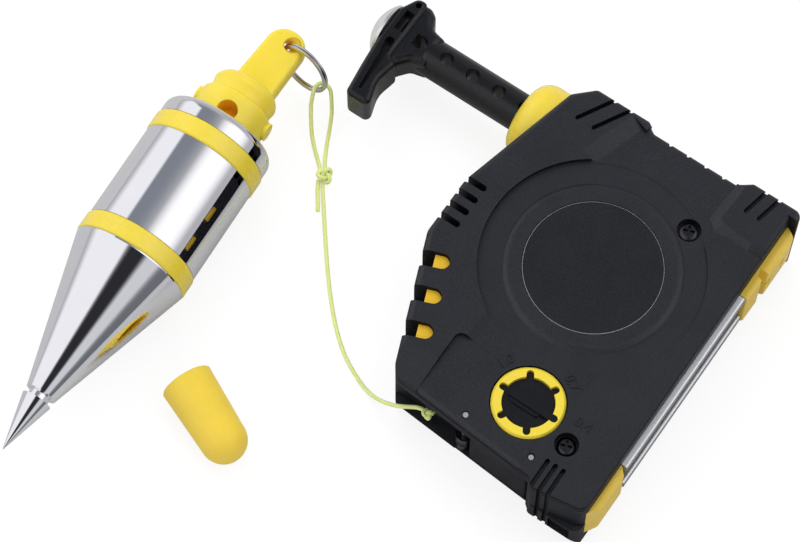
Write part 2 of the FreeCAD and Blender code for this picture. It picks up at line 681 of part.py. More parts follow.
def rear_cover():
    shell = prism(case_outline(), 0, PART_Z)
    shell = soften(shell, lambda e: max(edge_z(e)) < 0.01, EDGE_R)
    shell = shell.fuse(horn(1.2, PART_Z))
    shell = shell.cut(prism(cavity_outline(), COVER_T, PART_Z + 1))
    posts = [cyl(at(s, COVER_T), POST_R, PART_Z - COVER_T) for s in SCREWS]
    shell = shell.fuse(posts[0]).fuse(posts[1])
    tools = grip_cuts(-1, PART_Z - 2) + [lever_recess(), base_pockets(), rod_channel()] + collar_cut()
    tools += rear_bevels() + needle_holes()
    tools += heel_grooves(-1, PART_Z + 1) + [heel_pocket()]
    for spot in SCREWS:
        tools.append(cyl(at(spot, COVER_T), SCREW_R, PART_Z))
    for pin in (GUIDE_PIN, LEVER_PIN):
        tools.append(cyl(at(pin, 3.0), PIN_R, PART_Z))
    tools += [exit_bore(), lever_slot()]
    return cut(shell, tools).removeSplitter()


def exit_bore():
    return cyl(EXIT - V(0, 1, 0), BUSH_R, SIDE_WALL + 2, V(0, 1, 0))


def chassis():
    """Inner frame: deck, drum round the spool, slot rib, rod block and axle boss."""
    gap = 0.15
    room = prism(cavity_outline(), COVER_T, CEILING_Z - gap)
    deck = room.common(box(-60, 60, -80, 60, COVER_T, DECK_Z))
    drum = cyl(V(0, 0, COVER_T), DRUM_R, CEILING_Z - gap - COVER_T)
    drum = drum.cut(cyl(V(0, 0, DECK_Z), DRUM_IN, CASE_H))
    start = SLANT_TOP + SLANT_IN * (WINDOW_RIB_GAP - 2)
    end = SLANT_END + SLANT_IN * (WINDOW_RIB_GAP - 2)
    rib_w = WINDOW_L - WINDOW_RIB_GAP + 4.2
    rib = prism([(start.x, start.y, 0), (end.x, end.y, 0),
                 (end.x + SLANT_IN.x * rib_w, end.y + SLANT_IN.y * rib_w, 0),
                 (start.x + SLANT_IN.x * rib_w, start.y + SLANT_IN.y * rib_w, 0)],
                COVER_T, CEILING_Z - gap)
    block = box(COLLAR_X + 2.3, SEAT_X - SIDE_WALL - 1, DRUM_R - 1.4, TOP_Y, PART_Z - 8, PART_Z + 8)
    frame = deck.fuse(drum).fuse(rib).fuse(block).common(room)
    tall_room = prism(cavity_outline(), CEILING_Z - 2, CASE_H)
    for tongue in window_slots(WINDOW_W - 2 * gap, 0, CEILING_Z - 1, CASE_H - 0.4):
        frame = frame.fuse(tongue.common(tall_room))
    boss = cyl(V(0, 0, COVER_T), AXLE_R + 2.0, SPOOL_Z - COVER_T - 0.3)
    shaft_boss = cyl(at(DIAL, COVER_T), SHAFT_R + 1.8, 3.2)
    pin_boss = cyl(at(SHOE_PIN, COVER_T), SHOE_PIN_R + 0.9, CAM_Z - 0.3 - COVER_T)
    frame = frame.fuse(boss).fuse(shaft_boss).fuse(pin_boss)
    tools = [cyl(V(0, 0, COVER_T), AXLE_R, 20)]
    tools.append(cyl(at(DIAL, DECK_Z), SHAFT_R + RUN_FIT, 20))
    tools.append(cyl(V(COLLAR_X - 5, ROD_Y, PART_Z), ROD_R + RUN_FIT, CARRIER_X - COLLAR_X + 5,
                     V(1, 0, 0)))
    tools.append(rod_channel())
    tools.append(cyl(at(SHOE_PIN, DECK_Z - 0.8), SHOE_PIN_R, 20))
    for spot in SCREWS:
        tools.append(cyl(at(spot, COVER_T), POST_R + 0.2, 40))
        tools.append(cyl(at(spot, CEILING_Z - 1.5), WELL_R + 1.1, 10))
    tools.append(box(LEVER_ARM_X[0] - 1.5, DIAL.x + SHOE_W / 2 + 3 * MOVE_GAP, -DRUM_R - 2,
                     -DRUM_R / 2, DECK_Z, WEB_Z + 1))
    feed_x = (FEED_POINTS[0].x + EXIT.x) / 2
    tools.append(box(feed_x - 3.0, feed_x + 3.0, -60, -8, EXIT.z - 2, LINE_Z + 3))
    return cut(frame, tools).removeSplitter()


def rod_collar():
    """Domed collar that the rod slides through."""
    r = COLLAR_R
    k = COLLAR_ROUND
    s = k * (1 - math.sqrt(0.5))
    bore = ROD_R + RUN_FIT
    long = COLLAR_L
    groove = ROD_R + O_RING_T
    low = O_RING_AT
    high = low + O_RING_W
    return turned([(0, bore), (0, r - k), (k, r, (s, r - s)), (long, r), (long, r - 2.05),
                   (long + 2.25, r - 2.05), (long + 2.25, bore), (high, bore), (high, groove),
                   (low, groove), (low, bore)], V(COLLAR_OUT_X, ROD_Y, PART_Z), V(1, 0, 0))


def rod_friction_ring():
    """Rubber ring in the collar that keeps the rod where it is put."""
    inner = ROD_R + RUN_FIT
    outer = ROD_R + O_RING_T - 0.02
    high = O_RING_W - 0.04
    return turned([(0, inner), (0, outer), (high, outer), (high, inner)],
                  V(COLLAR_OUT_X + O_RING_AT + 0.02, ROD_Y, PART_Z), V(1, 0, 0))


# ---------------------------------------------------------------- base
def foot(corners, reach):
    """Moulded foot with its outer upper and lower edges rounded."""
    body = prism(corners, BASE_LOW_Z, BASE_HIGH_Z)
    round_bar = box(SEAT_X - 1, reach, corners[0][1] - 1, corners[-1][1] + 1, BASE_LOW_Z, BASE_HIGH_Z)
    outer = [e for e in round_bar.Edges if e.BoundBox.XMin > reach - 0.01 and e.BoundBox.YLength > 5]
    return body.common(round_bar.makeFillet(FOOT_ROUND, outer))


def upper_foot():
    """Foot that the pins come out of, with the notch beside its small end block."""
    y0, y1 = FOOT_SPANS[0]
    body = foot([(SEAT_X, y0, 0), (FOOT_X - 0.7, y0, 0.6), (FOOT_X - 0.5, y0 + 7.2, 0.4),
                 (BASE_X + 0.5, y0 + 7.5, 0.3), (BASE_X + 0.5, y0 + 9.6, 0.3),
                 (FOOT_X, y0 + 9.9, 0.5), (FOOT_X, y1 - 1.6, 1.0), (BASE_X + 0.2, y1, 0.3),
                 (SEAT_X, y1, 0)], FOOT_X)
    return cut(body, needle_holes())


def lower_foot():
    y0, y1 = FOOT_SPANS[1]
    reach = FOOT_X - 0.8
    return foot([(SEAT_X, y0, 0), (BASE_X - 0.2, y0, 0.5), (reach, y0 + 3.6, 1.0),
                 (reach, y1 - 2.1, 0.6), (BASE_X + 0.2, y1, 0.4), (SEAT_X, y1, 0)], reach)


def magnet_back_plate():
    """Steel plate behind the magnets."""
    y0, y1 = YOKE_SPAN
    return box(SEAT_X, SEAT_X + BACK_PLATE_T, y0, y1, BASE_LOW_Z, BASE_HIGH_Z)


def base_yokes():
    """Two steel pole strips with the magnets between them."""
    y0, y1 = YOKE_SPAN
    strips = []
    for z0 in (BASE_LOW_Z, BASE_HIGH_Z - YOKE_T):
        strip = box(SEAT_X + BACK_PLATE_T, YOKE_X, y0, y1, z0, z0 + YOKE_T)
        outer = [e for e in strip.Edges if e.BoundBox.XMin > YOKE_X - 0.01 and e.BoundBox.YLength > 10]
        strips.append(strip.makeFillet(0.6, outer))
    return Part.makeCompound(strips)


def base_magnets():
    """Three bar magnets, a little below the strips' faces."""
    y0, y1 = YOKE_SPAN
    count = 3
    gap = 0.4
    each = (y1 - y0 - gap * (count + 1)) / count
    bars = []
    for i in range(count):
        low = y0 + gap + i * (each + gap)
        bars.append(box(SEAT_X + BACK_PLATE_T, YOKE_X - 0.8, low, low + each, BASE_LOW_Z + YOKE_T,
                        BASE_HIGH_Z - YOKE_T))
    return Part.makeCompound(bars)


# ---------------------------------------------------------------- fasteners and pins
def case_screws():
    bodies = []
    for spot in SCREWS:
        head_z = CASE_H - WELL_DEPTH
        head = turned([(head_z, 0), (head_z, SCREW_HEAD_R), (head_z + 1.2, SCREW_HEAD_R),
                       (head_z + 1.7, SCREW_HEAD_R - 0.9), (head_z + 1.7, 0)], at(spot, 0))
        shank = cyl(at(spot, 6.0), SCREW_R, head_z - 6.0)
        screw = head.fuse(shank)
        for turn in (0, 90):
            bar = box(-1.6, 1.6, -0.35, 0.35, head_z + 0.7, head_z + 4)
            bar.rotate(V(0, 0, 0), V(0, 0, 1), turn + 20)
            bar.translate(at(spot, 0))
            screw = screw.cut(bar)
        bodies.append(screw)
    return Part.makeCompound(bodies)


def headed_pin(spot):
    """Cross pin from the rear cover to its head in the front face."""
    low = 3.0
    head_z = CASE_H - 1.2
    return turned([(low, 0), (low, PIN_R), (head_z, PIN_R), (head_z, PIN_HEAD_R),
                   (CASE_H - 0.4, PIN_HEAD_R), (CASE_H - 0.1, PIN_HEAD_R - 0.3), (CASE_H - 0.1, 0)],
                  at(spot, 0))


def shoe_pin():
    """Pin in the chassis that the brake shoe swings on."""
    return cyl(at(SHOE_PIN, DECK_Z - 0.8), SHOE_PIN_R, CAM_Z + 5.0 - DECK_Z + 0.8)


def spool_axle():
    """Fixed arbor, slotted below for the recoil spring's inner end."""
    arbor = turned([(COVER_T, 0), (COVER_T, AXLE_R), (AXLE_TOP_Z, AXLE_R), (AXLE_TOP_Z, 0)])
    return arbor.cut(box(-0.4, 0.4, -AXLE_R - 1, AXLE_R + 1, SPOOL_Z + 0.6, WEB_Z - 0.4))


# ---------------------------------------------------------------- spool
def spool():
    """Cup for the recoil spring, web, hub for the line and a top flange."""
    bore = AXLE_R + RUN_FIT
    cup_in = SPOOL_R - CUP_WALL
    return turned([(SPOOL_Z, cup_in), (SPOOL_Z, SPOOL_R), (WIND_Z, SPOOL_R), (WIND_Z, HUB_R),
                   (FLANGE_Z, HUB_R), (FLANGE_Z, SPOOL_R - 0.6), (SPOOL_TOP_Z, SPOOL_R - 0.6),
                   (SPOOL_TOP_Z, HUB_R - 2.0), (WIND_Z, HUB_R - 2.0), (WIND_Z, AXLE_R + 2.6),
                   (SPOOL_TOP_Z, AXLE_R + 2.6), (SPOOL_TOP_Z, bore), (WEB_Z, bore),
                   (WEB_Z, cup_in)])


def wound_line():
    """The line's wound length, as one coil on the hub."""
    return turned([(WIND_Z, HUB_R), (WIND_Z, WOUND_R - 1.0),
                   (FLANGE_Z, WOUND_R - 1.0, (LINE_Z, WOUND_R)), (FLANGE_Z, HUB_R)])


def recoil_spring():
    """Flat spiral spring of half-round turns, from the cup wall inwards."""
    strip_t = 0.5
    halves = 10
    inner = AXLE_R + 2.4
    outer = SPOOL_R - CUP_WALL
    step = (outer - inner - strip_t) / halves
    z0 = SPOOL_Z + SPRING_COVER_T + 0.3
    height = WEB_Z - 0.4 - z0
    strip = None
    for i in range(halves):
        upper = i % 2 == 0
        centre = V(0 if upper else step, 0, z0)
        radius = inner + step * i
        ring = cyl(centre, radius + strip_t, height).cut(cyl(centre, radius, height))
        y0, y1 = (0, 60) if upper else (-60, 0)
        half = ring.common(box(-60, 60, y0, y1, z0 - 1, z0 + height + 1))
        strip = half if strip is None else strip.fuse(half)
    return strip.removeSplitter()


def spring_cover():
    """Thin disc that closes the spring's cup."""
    z1 = SPOOL_Z + SPRING_COVER_T
    inner = AXLE_R + 2.4
    outer = SPOOL_R - CUP_WALL
    return turned([(SPOOL_Z, inner), (SPOOL_Z, outer), (z1, outer), (z1, inner)])


def spool_washer():
    """Washer between the spool and the front cover's boss."""
    z0 = SPOOL_TOP_Z + 0.3
    z1 = SPOOL_TOP_Z + 0.8
    inner = AXLE_R + RUN_FIT
    outer = AXLE_R + 2.2
    return turned([(z0, inner), (z0, outer), (z1, outer), (z1, inner)])


# ---------------------------------------------------------------- pin drive
def handle_plate(corners, thickness, edge):
    """Plate of the handle in plan, rounded along its upper and lower edges."""
    half = thickness / 2
    plate = prism([(HEAD_X + dx, ROD_Y + dy, r) for dx, dy, r in corners], PART_Z - half, PART_Z + half)
    return plate.makeFillet(edge, [e for e in plate.Edges if e.BoundBox.ZLength < 0.01])


def head_cores(z0, z1):
    """Cored recesses in one face of the head: ribbed window, keyhole and blind hole."""
    x = HEAD_X
    y = ROD_Y
    window = box(x - 10.1, x - 7.4, y - 0.9, y + 5.8, z0, z1)
    window = window.cut(box(x - 8.6, x - 7.9, y - 1, y + 3.6, z0, (z0 + z1) / 2))
    keyhole = slot(V(x - 8.7, y - 4.9, 0), V(x - 8.3, y - 7.8, 0), 2.6, z0, z1)
    groove = prism([(x - 7.2, y - 7.8, 0), (x - 9.3, y - 7.8, 0), (x - 7.8, y - 21.8, 0.2),
                    (x - 7.0, y - 21.8, 0.2)], z0, z1)
    return [window, keyhole, groove, cyl(V(x - 8.2, y + 8.8, z0), 0.9, z1 - z0)]


def t_handle():
    """Rod, flared hub and hooked head in one moulding."""
    axis = V(1, 0, 0)
    head = handle_plate([(-9.6, 11.1, 2.4), (-12.7, 4.9, 4.0), (-12.5, -5.0, 8.0), (-11.5, -15.0, 10.0),
                         (-10.2, -24.9, 1.8), (-2.1, -24.9, 1.8), (-4.7, -16.8, 9.0),
                         (-3.2, -9.6, 1.2), (-5.9, -8.4, 1.2), (-5.8, 8.0, 3.0), (-6.6, 11.1, 1.2)],
                        HEAD_T, HEAD_EDGE)
    hub = handle_plate([(-9.0, 11.0, 1.0), (-5.0, 11.1, 2.6), (-2.8, 9.7, 3.0), (-0.9, 6.0, 2.4),
                        (3.4, 5.0, 0.3), (3.4, -5.0, 0.3), (-0.8, -6.0, 2.6), (-3.5, -9.3, 3.0),
                        (-4.6, -14.5, 1.0), (-9.0, -14.5, 1.0)], HUB_T, HUB_EDGE)
    rod = cyl(V(HEAD_X - 5, ROD_Y, PART_Z), ROD_R, CARRIER_X - HEAD_X + 5, axis)
    body = head.fuse(hub).fuse(rod)
    half = HEAD_T / 2
    cores = head_cores(PART_Z + half - HEAD_CORE, 40) + head_cores(-5, PART_Z - half + HEAD_CORE)
    body = cut(body, cores)
    window_x = HEAD_X - 1.5
    body = body.cut(cyl(V(window_x, ROD_Y, 0), NECK_HOLE_R, 40))
    body = body.cut(box(window_x - NECK_HOLE_R, window_x, ROD_Y - 1.8, ROD_Y + 1.8, 0, 40))
    for i in range(1, 5):
        spot = V(HEAD_X - 1.3 + ROD_HOLE_PITCH * i, ROD_Y, PART_Z - 12)
        body = body.cut(cyl(spot, ROD_HOLE_R, 24))
    back = HEAD_X - HEAD_BACK
    body = body.cut(box(back - 10, back, ROD_Y - STRIKE_R - 0.4, ROD_Y + STRIKE_R + 0.4, 0, 40))
    body = body.cut(cyl(V(back, ROD_Y, PART_Z), STEM_R, STEM_L, axis))
    body = body.cut(cyl(V(CARRIER_X - SCREW_GRIP, ROD_Y, PART_Z), CARRIER_SCREW_R, 40, axis))
    return body.removeSplitter()


def strike_cap():
    """Domed steel strike face with its stem in the handle head."""
    r = STRIKE_R
    rim = 0.8
    rise = STRIKE_RISE - rim
    sphere = (r ** 2 + rise ** 2) / (2 * rise)
    half = math.asin(r / sphere) / 2
    mid = (-STRIKE_RISE + sphere * (1 - math.cos(half)), sphere * math.sin(half))
    return turned([(STEM_L, 0), (STEM_L, STEM_R), (0, STEM_R), (0, r), (-rim, r),
                   (-STRIKE_RISE, 0, mid)], V(HEAD_X - HEAD_BACK, ROD_Y, PART_Z), V(1, 0, 0))


def carrier_screw():
    """Screw that holds the needle carrier on the rod's end."""
    head_x = CARRIER_X + CARRIER_T
    shank_l = CARRIER_T + SCREW_GRIP
    body = turned([(-shank_l, 0), (-shank_l, CARRIER_SCREW_R), (0, CARRIER_SCREW_R), (0, 2.2),
                   (1.1, 2.2), (1.5, 1.6), (1.5, 0)], V(head_x, ROD_Y, PART_Z), V(1, 0, 0))
    return body.cut(box(head_x + 0.8, head_x + 3, ROD_Y - 3, ROD_Y + 3, PART_Z - 0.3, PART_Z + 0.3))


def needle_carrier():
    half = CARRIER_HALF_Y
    body = box(CARRIER_X, CARRIER_X + CARRIER_T, ROD_Y - half, ROD_Y + half,
               PART_Z - CARRIER_HALF_Z, PART_Z + CARRIER_HALF_Z)
    body = body.makeFillet(0.8, [e for e in body.Edges if e.BoundBox.XLength > 1])
    for side in (-1, 1):
        y = ROD_Y + side * NEEDLE_SPREAD / 2
        body = body.cut(cyl(V(NEEDLE_X - 4, y, PART_Z), NEEDLE_R, 20, V(1, 0, 0)))
    return body.cut(cyl(V(CARRIER_X - 1, ROD_Y, PART_Z), CARRIER_SCREW_R, 20, V(1, 0, 0)))


def needles():
    pair = []
    for side in (-1, 1):
        base = V(NEEDLE_X - 4, ROD_Y + side * NEEDLE_SPREAD / 2, PART_Z)
        tip = NEEDLE_L + 4
        pair.append(turned([(0, 0), (0, NEEDLE_R), (tip - 4, NEEDLE_R), (tip, 0.15), (tip, 0)],
                           base, V(1, 0, 0)))
    return Part.makeCompound(pair)


# ---------------------------------------------------------------- dial and brakes
def dial_notches(radius, width, z0, z1):
    return [slot(V(0, 0, 0), V(radius * math.cos(a), radius * math.sin(a), 0), width, z0, z1)
            for a in [math.radians(60 * i) for i in range(6)]]


def dial_ring():
    """Yellow ring of the dial with six notches."""
    floor = CASE_H - DIAL_WELL + 0.3
    top = CASE_H + 0.2
    ring = turned([(floor, DIAL_INNER_R), (floor, DIAL_R), (top - 0.6, DIAL_R), (top, DIAL_R - 0.6),
                   (top, DIAL_INNER_R)])
    ring = cut(ring, dial_notches(DIAL_INNER_R + 0.9, NOTCH_W, floor - 1, top + 1))
    ring.translate(at(DIAL, 0))
    return ring


def dial_knob():
    """Black centre with six nubs, the grip bar, the shaft and the brake cam below."""
    floor = CASE_H - DIAL_WELL + 0.3
    face = CASE_H - 1.2
    fit = 0.04
    disc = cyl(V(0, 0, floor), DIAL_INNER_R - fit, face - floor)
    nubs = dial_notches(DIAL_INNER_R + 0.9, NOTCH_W - 2 * fit, floor, face)
    bar = slot(V(-DIAL_INNER_R + 2.2, 0, 0), V(DIAL_INNER_R + 0.9, 0, 0), NOTCH_W - 2 * fit, floor,
               CASE_H + 0.2)
    wing = prism([(-5.0, -2.1, 1.0), (4.2, -2.1, 1.0), (4.2, 2.1, 1.0), (-5.0, 2.1, 1.0)], floor,
                 CASE_H - 0.5)
    shaft = cyl(V(0, 0, DECK_Z + 0.3), SHAFT_R, floor - DECK_Z - 0.3)
    aim = math.radians(90 - DIAL_TURN)
    cam = cyl(V(CAM_OFFSET * math.cos(aim), CAM_OFFSET * math.sin(aim), CAM_Z), CAM_R, 5.0)
    knob = disc
    for piece in nubs + [bar, wing, shaft, cam]:
        knob = knob.fuse(piece)
    knob = knob.removeSplitter()
    knob.translate(at(DIAL, 0))
    return knob


def shoe_at_rest(shape):
    """Swings a shape drawn with the brake full on back to the dial's first mark."""
    shape.rotate(SHOE_PIN, V(0, 0, 1), SHOE_SWING)
    return shape


def brake_shoe():
    """Arm on its own pin between the dial's cam and the spool's flange."""
    left = DIAL.x - SHOE_W / 2 + 0.5
    right = left + SHOE_W
    face = DIAL.y + CAM_R + CAM_OFFSET + CAM_GAP
    inner = 3 - SPOOL_R
    q = SHOE_PIN
    body = prism([(left, face, 1.0), (q.x - 2.6, face, 2.0), (q.x + 2.6, q.y - 1.5, 2.4),
                  (q.x + 2.6, q.y + 2.6, 2.4), (q.x - 1.5, q.y + 2.6, 1.5),
                  (right, -DRUM_R - 0.8, 0.5), (right, inner, 0), (left, inner, 0)],
                 CAM_Z, CAM_Z + SHOE_H)
    body = body.cut(cyl(V(0, 0, 0), SPOOL_R + MOVE_GAP + LINING_T, CASE_H))
    body = body.cut(cyl(SHOE_PIN, SHOE_PIN_R + RUN_FIT, CASE_H))
    return shoe_at_rest(body)


def shoe_lining():
    """Felt face of the shoe."""
    keep = SPOOL_R + MOVE_GAP
    left = DIAL.x - SHOE_W / 2 + 0.5
    pad = box(left, left + SHOE_W, -SPOOL_R - 6, 3 - SPOOL_R, CAM_Z, CAM_Z + SHOE_H)
    pad = pad.common(cyl(V(0, 0, 0), keep + LINING_T, CASE_H)).cut(cyl(V(0, 0, 0), keep, CASE_H))
    return shoe_at_rest(pad)


def brake_lever():
    """Thumb lever along the lower side, with its boss, and the arm to the brake drum."""
    z0 = RECESS_LOW_Z + MOVE_GAP
    z1 = RECESS_HIGH_Z - MOVE_GAP
    left = LEVER_ARM_X[0] - 0.1
    right = LEVER_PIN.x + 1.6
    plate = prism([(left, lip_y(left) + LEVER_SET, 0.9), (right, lip_y(right) + LEVER_SET, 1.2),
                   (right, LEVER_PIN.y + 1.2, 0.8), (left, lip_y(left) + LEVER_SET + LEVER_T, 0.3)],
                  z0, z1)
    boss = cyl(at(LEVER_PIN, z0), LEVER_BOSS_R, z1 - z0)
    arm = box(LEVER_ARM_X[0], LEVER_ARM_X[1], lip_y(0) + LEVER_SET + 1.2, ARM_Y, ARM_Z, ARM_Z + ARM_H)
    body = plate.fuse(boss).fuse(arm)
    return body.cut(cyl(at(LEVER_PIN, 0), PIN_R + RUN_FIT, 40)).removeSplitter()


def lever_slot():
    """Way through the recess wall for the lever's arm."""
    return box(LEVER_ARM_X[0] - 0.5, LEVER_ARM_X[1] + 1.0, RECESS_Y - 1, RECESS_Y + SIDE_WALL + 2,
               ARM_Z - MOVE_GAP, ARM_Z + ARM_H + MOVE_GAP)


def brake_pad():
    """Rubber pad on the lever arm."""
    return box(LEVER_ARM_X[0] - 0.4, LEVER_ARM_X[1] + 0.4, ARM_Y, ARM_Y + PAD_T, ARM_Z, ARM_Z + ARM_H)


def guide_roller():
    """Grooved roller that the line bears on when the reel is set."""
    z0 = RECESS_LOW_Z + MOVE_GAP
    top = z0 + ROLLER_L
    mid = (z0 + top) / 2
    bore = PIN_R + RUN_FIT
    return turned([(z0, bore), (z0, ROLLER_R), (mid - 1.2, ROLLER_R),
                   (mid + 1.2, ROLLER_R, (mid, ROLLER_R - 0.6)), (top, ROLLER_R), (top, bore)],
                  at(GUIDE_PIN, 0))


def exit_bush():
    """Smooth eyelet that the line leaves through."""
    hole = LINE_D / 2 + 0.15
    face = -BUSH_FLANGE
    return turned([(face, hole + 0.4), (face, BUSH_R + 0.4), (0, BUSH_R + 0.8), (0, BUSH_R),
                   (SIDE_WALL, BUSH_R), (SIDE_WALL, hole), (face + 0.4, hole)], EXIT, V(0, 1, 0))


def label_disc():
    """Thin round plate in the middle of the front, left bare."""
    z = CASE_H + 0.3
    return turned([(z, 0), (z, LABEL_R), (z + 0.3, LABEL_R), (z + 0.4, LABEL_R - 0.1), (z + 0.4, 0)])


# ---------------------------------------------------------------- bob
def seat_bob(shape):
    """Puts a shape built along +X onto the bob's axis."""
    shape.rotate(V(0, 0, 0), V(0, 0, 1), BOB_LEAN - 90)
    shape.translate(BOB_TOP)
    return shape


def bob_body():
    """Bored steel body: rounded shoulder, cylinder with two ring grooves, and cone."""
    r = BOB_R
    k = BOB_SHOULDER
    s = k * (1 - math.sqrt(0.5))
    seat = BOB_R - BOB_RING_SEAT
    end = BOB_BODY_L + BOB_CONE_L
    profile = [(0, BOB_BORE_R), (0, r - k), (k, r, (s, r - s))]
    for start in RING_STARTS:
        profile += [(start, r), (start, seat), (start + BOB_RING_W, seat), (start + BOB_RING_W, r)]
    profile += [(BOB_BODY_L + 0.4, r), (end, BOB_TIP_R + 0.1), (end, TIP_STUD_R),
                (end - TIP_STUD_L, TIP_STUD_R), (end - TIP_STUD_L, 0), (BOB_BORE_L, 0),
                (BOB_BORE_L, BOB_BORE_R)]
    return seat_bob(turned(profile, axis=V(1, 0, 0)))


def bob_tip():
    """Turned point with its neck and the stud that screws into the cone."""
    start = BOB_BODY_L + BOB_CONE_L
    end = start + BOB_TIP_L
    neck = start + TIP_NECK_L
    r = BOB_TIP_R
    return seat_bob(turned([(start - TIP_STUD_L, 0), (start - TIP_STUD_L, TIP_STUD_R),
                            (start, TIP_STUD_R), (start, TIP_NECK_R), (neck, TIP_NECK_R),
                            (neck, r), (end - 0.2, 0.2), (end, 0)], axis=V(1, 0, 0)))


def bumper_ring(index):
    start = RING_STARTS[index]
    seat = BOB_R - BOB_RING_SEAT
    w = BOB_RING_W
    k = 0.8
    s = k * (1 - math.sqrt(0.5))
    r = BOB_RING_R
    return seat_bob(turned([(start, seat), (start, r - k), (start + k, r, (start + s, r - s)),
                            (start + w - k, r), (start + w, r - k, (start + w - s, r - s)),
                            (start + w, seat)], axis=V(1, 0, 0)))


def bob_head():
    """Waisted base, cross bosses, sight hole, and the strap that the ring goes through."""
    base = HEAD_BASE_R
    bell = HEAD_BELL_R
    top = -HEAD_BASE_L
    body = turned([(-0.1, 0), (-0.1, base - 0.3), (-0.5, base), (-7.6, base),
                   (-9.0, bell - 0.4, (-8.6, bell + 0.5)), (-12.2, bell, (-10.6, bell - 0.3)),
                   (top, bell - 3.3, (top + 1.2, bell - 0.9)), (top, 0)], axis=V(1, 0, 0))
    cross = cyl(V(-5.8, -CROSS_HALF, 0), CROSS_R, 2 * CROSS_HALF, V(0, 1, 0))
    half = STRAP_W / 2
    strap = prism([(top + 2.0, -half - 1.6, 0), (top + 2.0, half + 1.6, 0),
                   (top - 1.0, half + 0.6, 1.5), (STRAP_TIP_X, half, half - 0.2),
                   (STRAP_TIP_X, -half, half - 0.2), (top - 1.0, -half - 0.6, 1.5)],
                  -STRAP_T / 2, STRAP_T / 2)
    rim = [e for e in strap.Edges if e.BoundBox.ZLength < 0.01 and e.BoundBox.XMax < top + 1.9]
    strap = strap.makeFillet(1.4, rim)
    strap.rotate(V(top, 0, 0), V(0, 0, 1), -STRAP_LEAN)
    strap.translate(V(0, STRAP_START, 0))
    body = body.fuse(cross).fuse(strap)
    body = body.cut(cyl(V(SIGHT_X, STRAP_START, 4.0), SIGHT_R, 20))
    return seat_bob(body.removeSplitter()).cut(ring_hole())


def ring_hole():
    """Hole through the strap along the ring's wire, dished at both ends."""
    deep = 1.7
    face = STRAP_T / 2 + 0.5
    return turned([(-face - 2, 0), (-face - 2, STRAP_HOLE_FLARE), (-face, STRAP_HOLE_FLARE),
                   (-deep, STRAP_HOLE_R), (deep, STRAP_HOLE_R), (face, STRAP_HOLE_FLARE),
                   (face + 2, STRAP_HOLE_FLARE), (face + 2, 0)], RING_HOLE, RING_TANGENT)


def head_stud():
    """Swivel plug: held in the head, turning in the body's bore."""
    return seat_bob(turned([(-0.1, 0), (-0.1, BOB_BORE_R - RUN_FIT), (9.0, BOB_BORE_R - RUN_FIT),
                            (10.5, BOB_BORE_R - 1.8), (10.5, 0)], axis=V(1, 0, 0)))


# ---------------------------------------------------------------- ring, cap and line
def bob_point(along, aside):
    """Place in the frame from a place on the bob's own axes, at the axis height."""
    lean = math.radians(BOB_LEAN)
    axis = V(math.sin(lean), -math.cos(lean), 0)
    side = V(math.cos(lean), math.sin(lean), 0)
    return BOB_TOP + axis * along + side * aside


RING_ALONG = V(0.954, -0.150, -0.262).normalize()
RING_NORMAL = V(-0.110, -0.981, 0.161).normalize()
RING_UP = RING_NORMAL.cross(RING_ALONG).normalize()
STRAP_SKEW = math.tan(math.radians(STRAP_LEAN))
RING_HOLE = bob_point(STRAP_HOLE_X, STRAP_START - (STRAP_HOLE_X + HEAD_BASE_L) * STRAP_SKEW)
RING_TURN = math.radians(170)    # where on the ring the strap hangs


def ring_place(outward, turn, forward):
    """Place beside the ring's wire: outward of it, at a turn in degrees, and in front of it."""
    angle = math.radians(turn)
    arm = RING_ALONG * math.cos(angle) + RING_UP * math.sin(angle)
    return RING_CENTRE + arm * (RING_R + outward) + RING_NORMAL * forward


RING_CENTRE = RING_HOLE - (RING_ALONG * math.cos(RING_TURN) + RING_UP * math.sin(RING_TURN)) * RING_R
RING_TANGENT = RING_UP * math.cos(RING_TURN) - RING_ALONG * math.sin(RING_TURN)


def split_ring():
    """Double-wound ring, as one closed band of two coils' width."""
    wire = RING_WIRE_R
    half = []
    for along, out in ((1.0, 0.55), (0.3, 0.9)):
        half.append((wire * along, wire * out))
    profile = [(-a, RING_R - o) for a, o in half]
    profile += [(a, RING_R - o) for a, o in reversed(half)]
    profile += [(a, RING_R + o) for a, o in half]
    profile += [(-a, RING_R + o) for a, o in reversed(half)]
    return turned(profile, RING_CENTRE, RING_NORMAL)


CAP_MOUTH = V(-78.3, -83.4, 0)
CAP_AIM = V(26.0, -11.2, 0)


def tip_cap():
    """Soft cap for the bob's point, taken off and lying beside it."""
    aim = V(CAP_AIM.x, CAP_AIM.y, 0).normalize()
    dip = math.atan2(CAP_R - CAP_END_R, CAP_L - CAP_END_R)
    axis = V(aim.x * math.cos(dip), aim.y * math.cos(dip), -math.sin(dip))
    straight = CAP_L - CAP_END_R
    k = CAP_END_R
    inner = CAP_R - CAP_WALL
    deep = CAP_L - CAP_WALL - inner * 0.8
    s = math.sqrt(0.5)
    base = V(CAP_MOUTH.x, CAP_MOUTH.y, CAP_R + 0.05)
    return turned([(0, inner), (0, CAP_R - 0.5), (0.5, CAP_R), (straight, k),
                   (CAP_L, 0, (straight + k * s, k * s)), (deep + inner * 0.6, 0),
                   (deep, inner * 0.6)], base, axis)


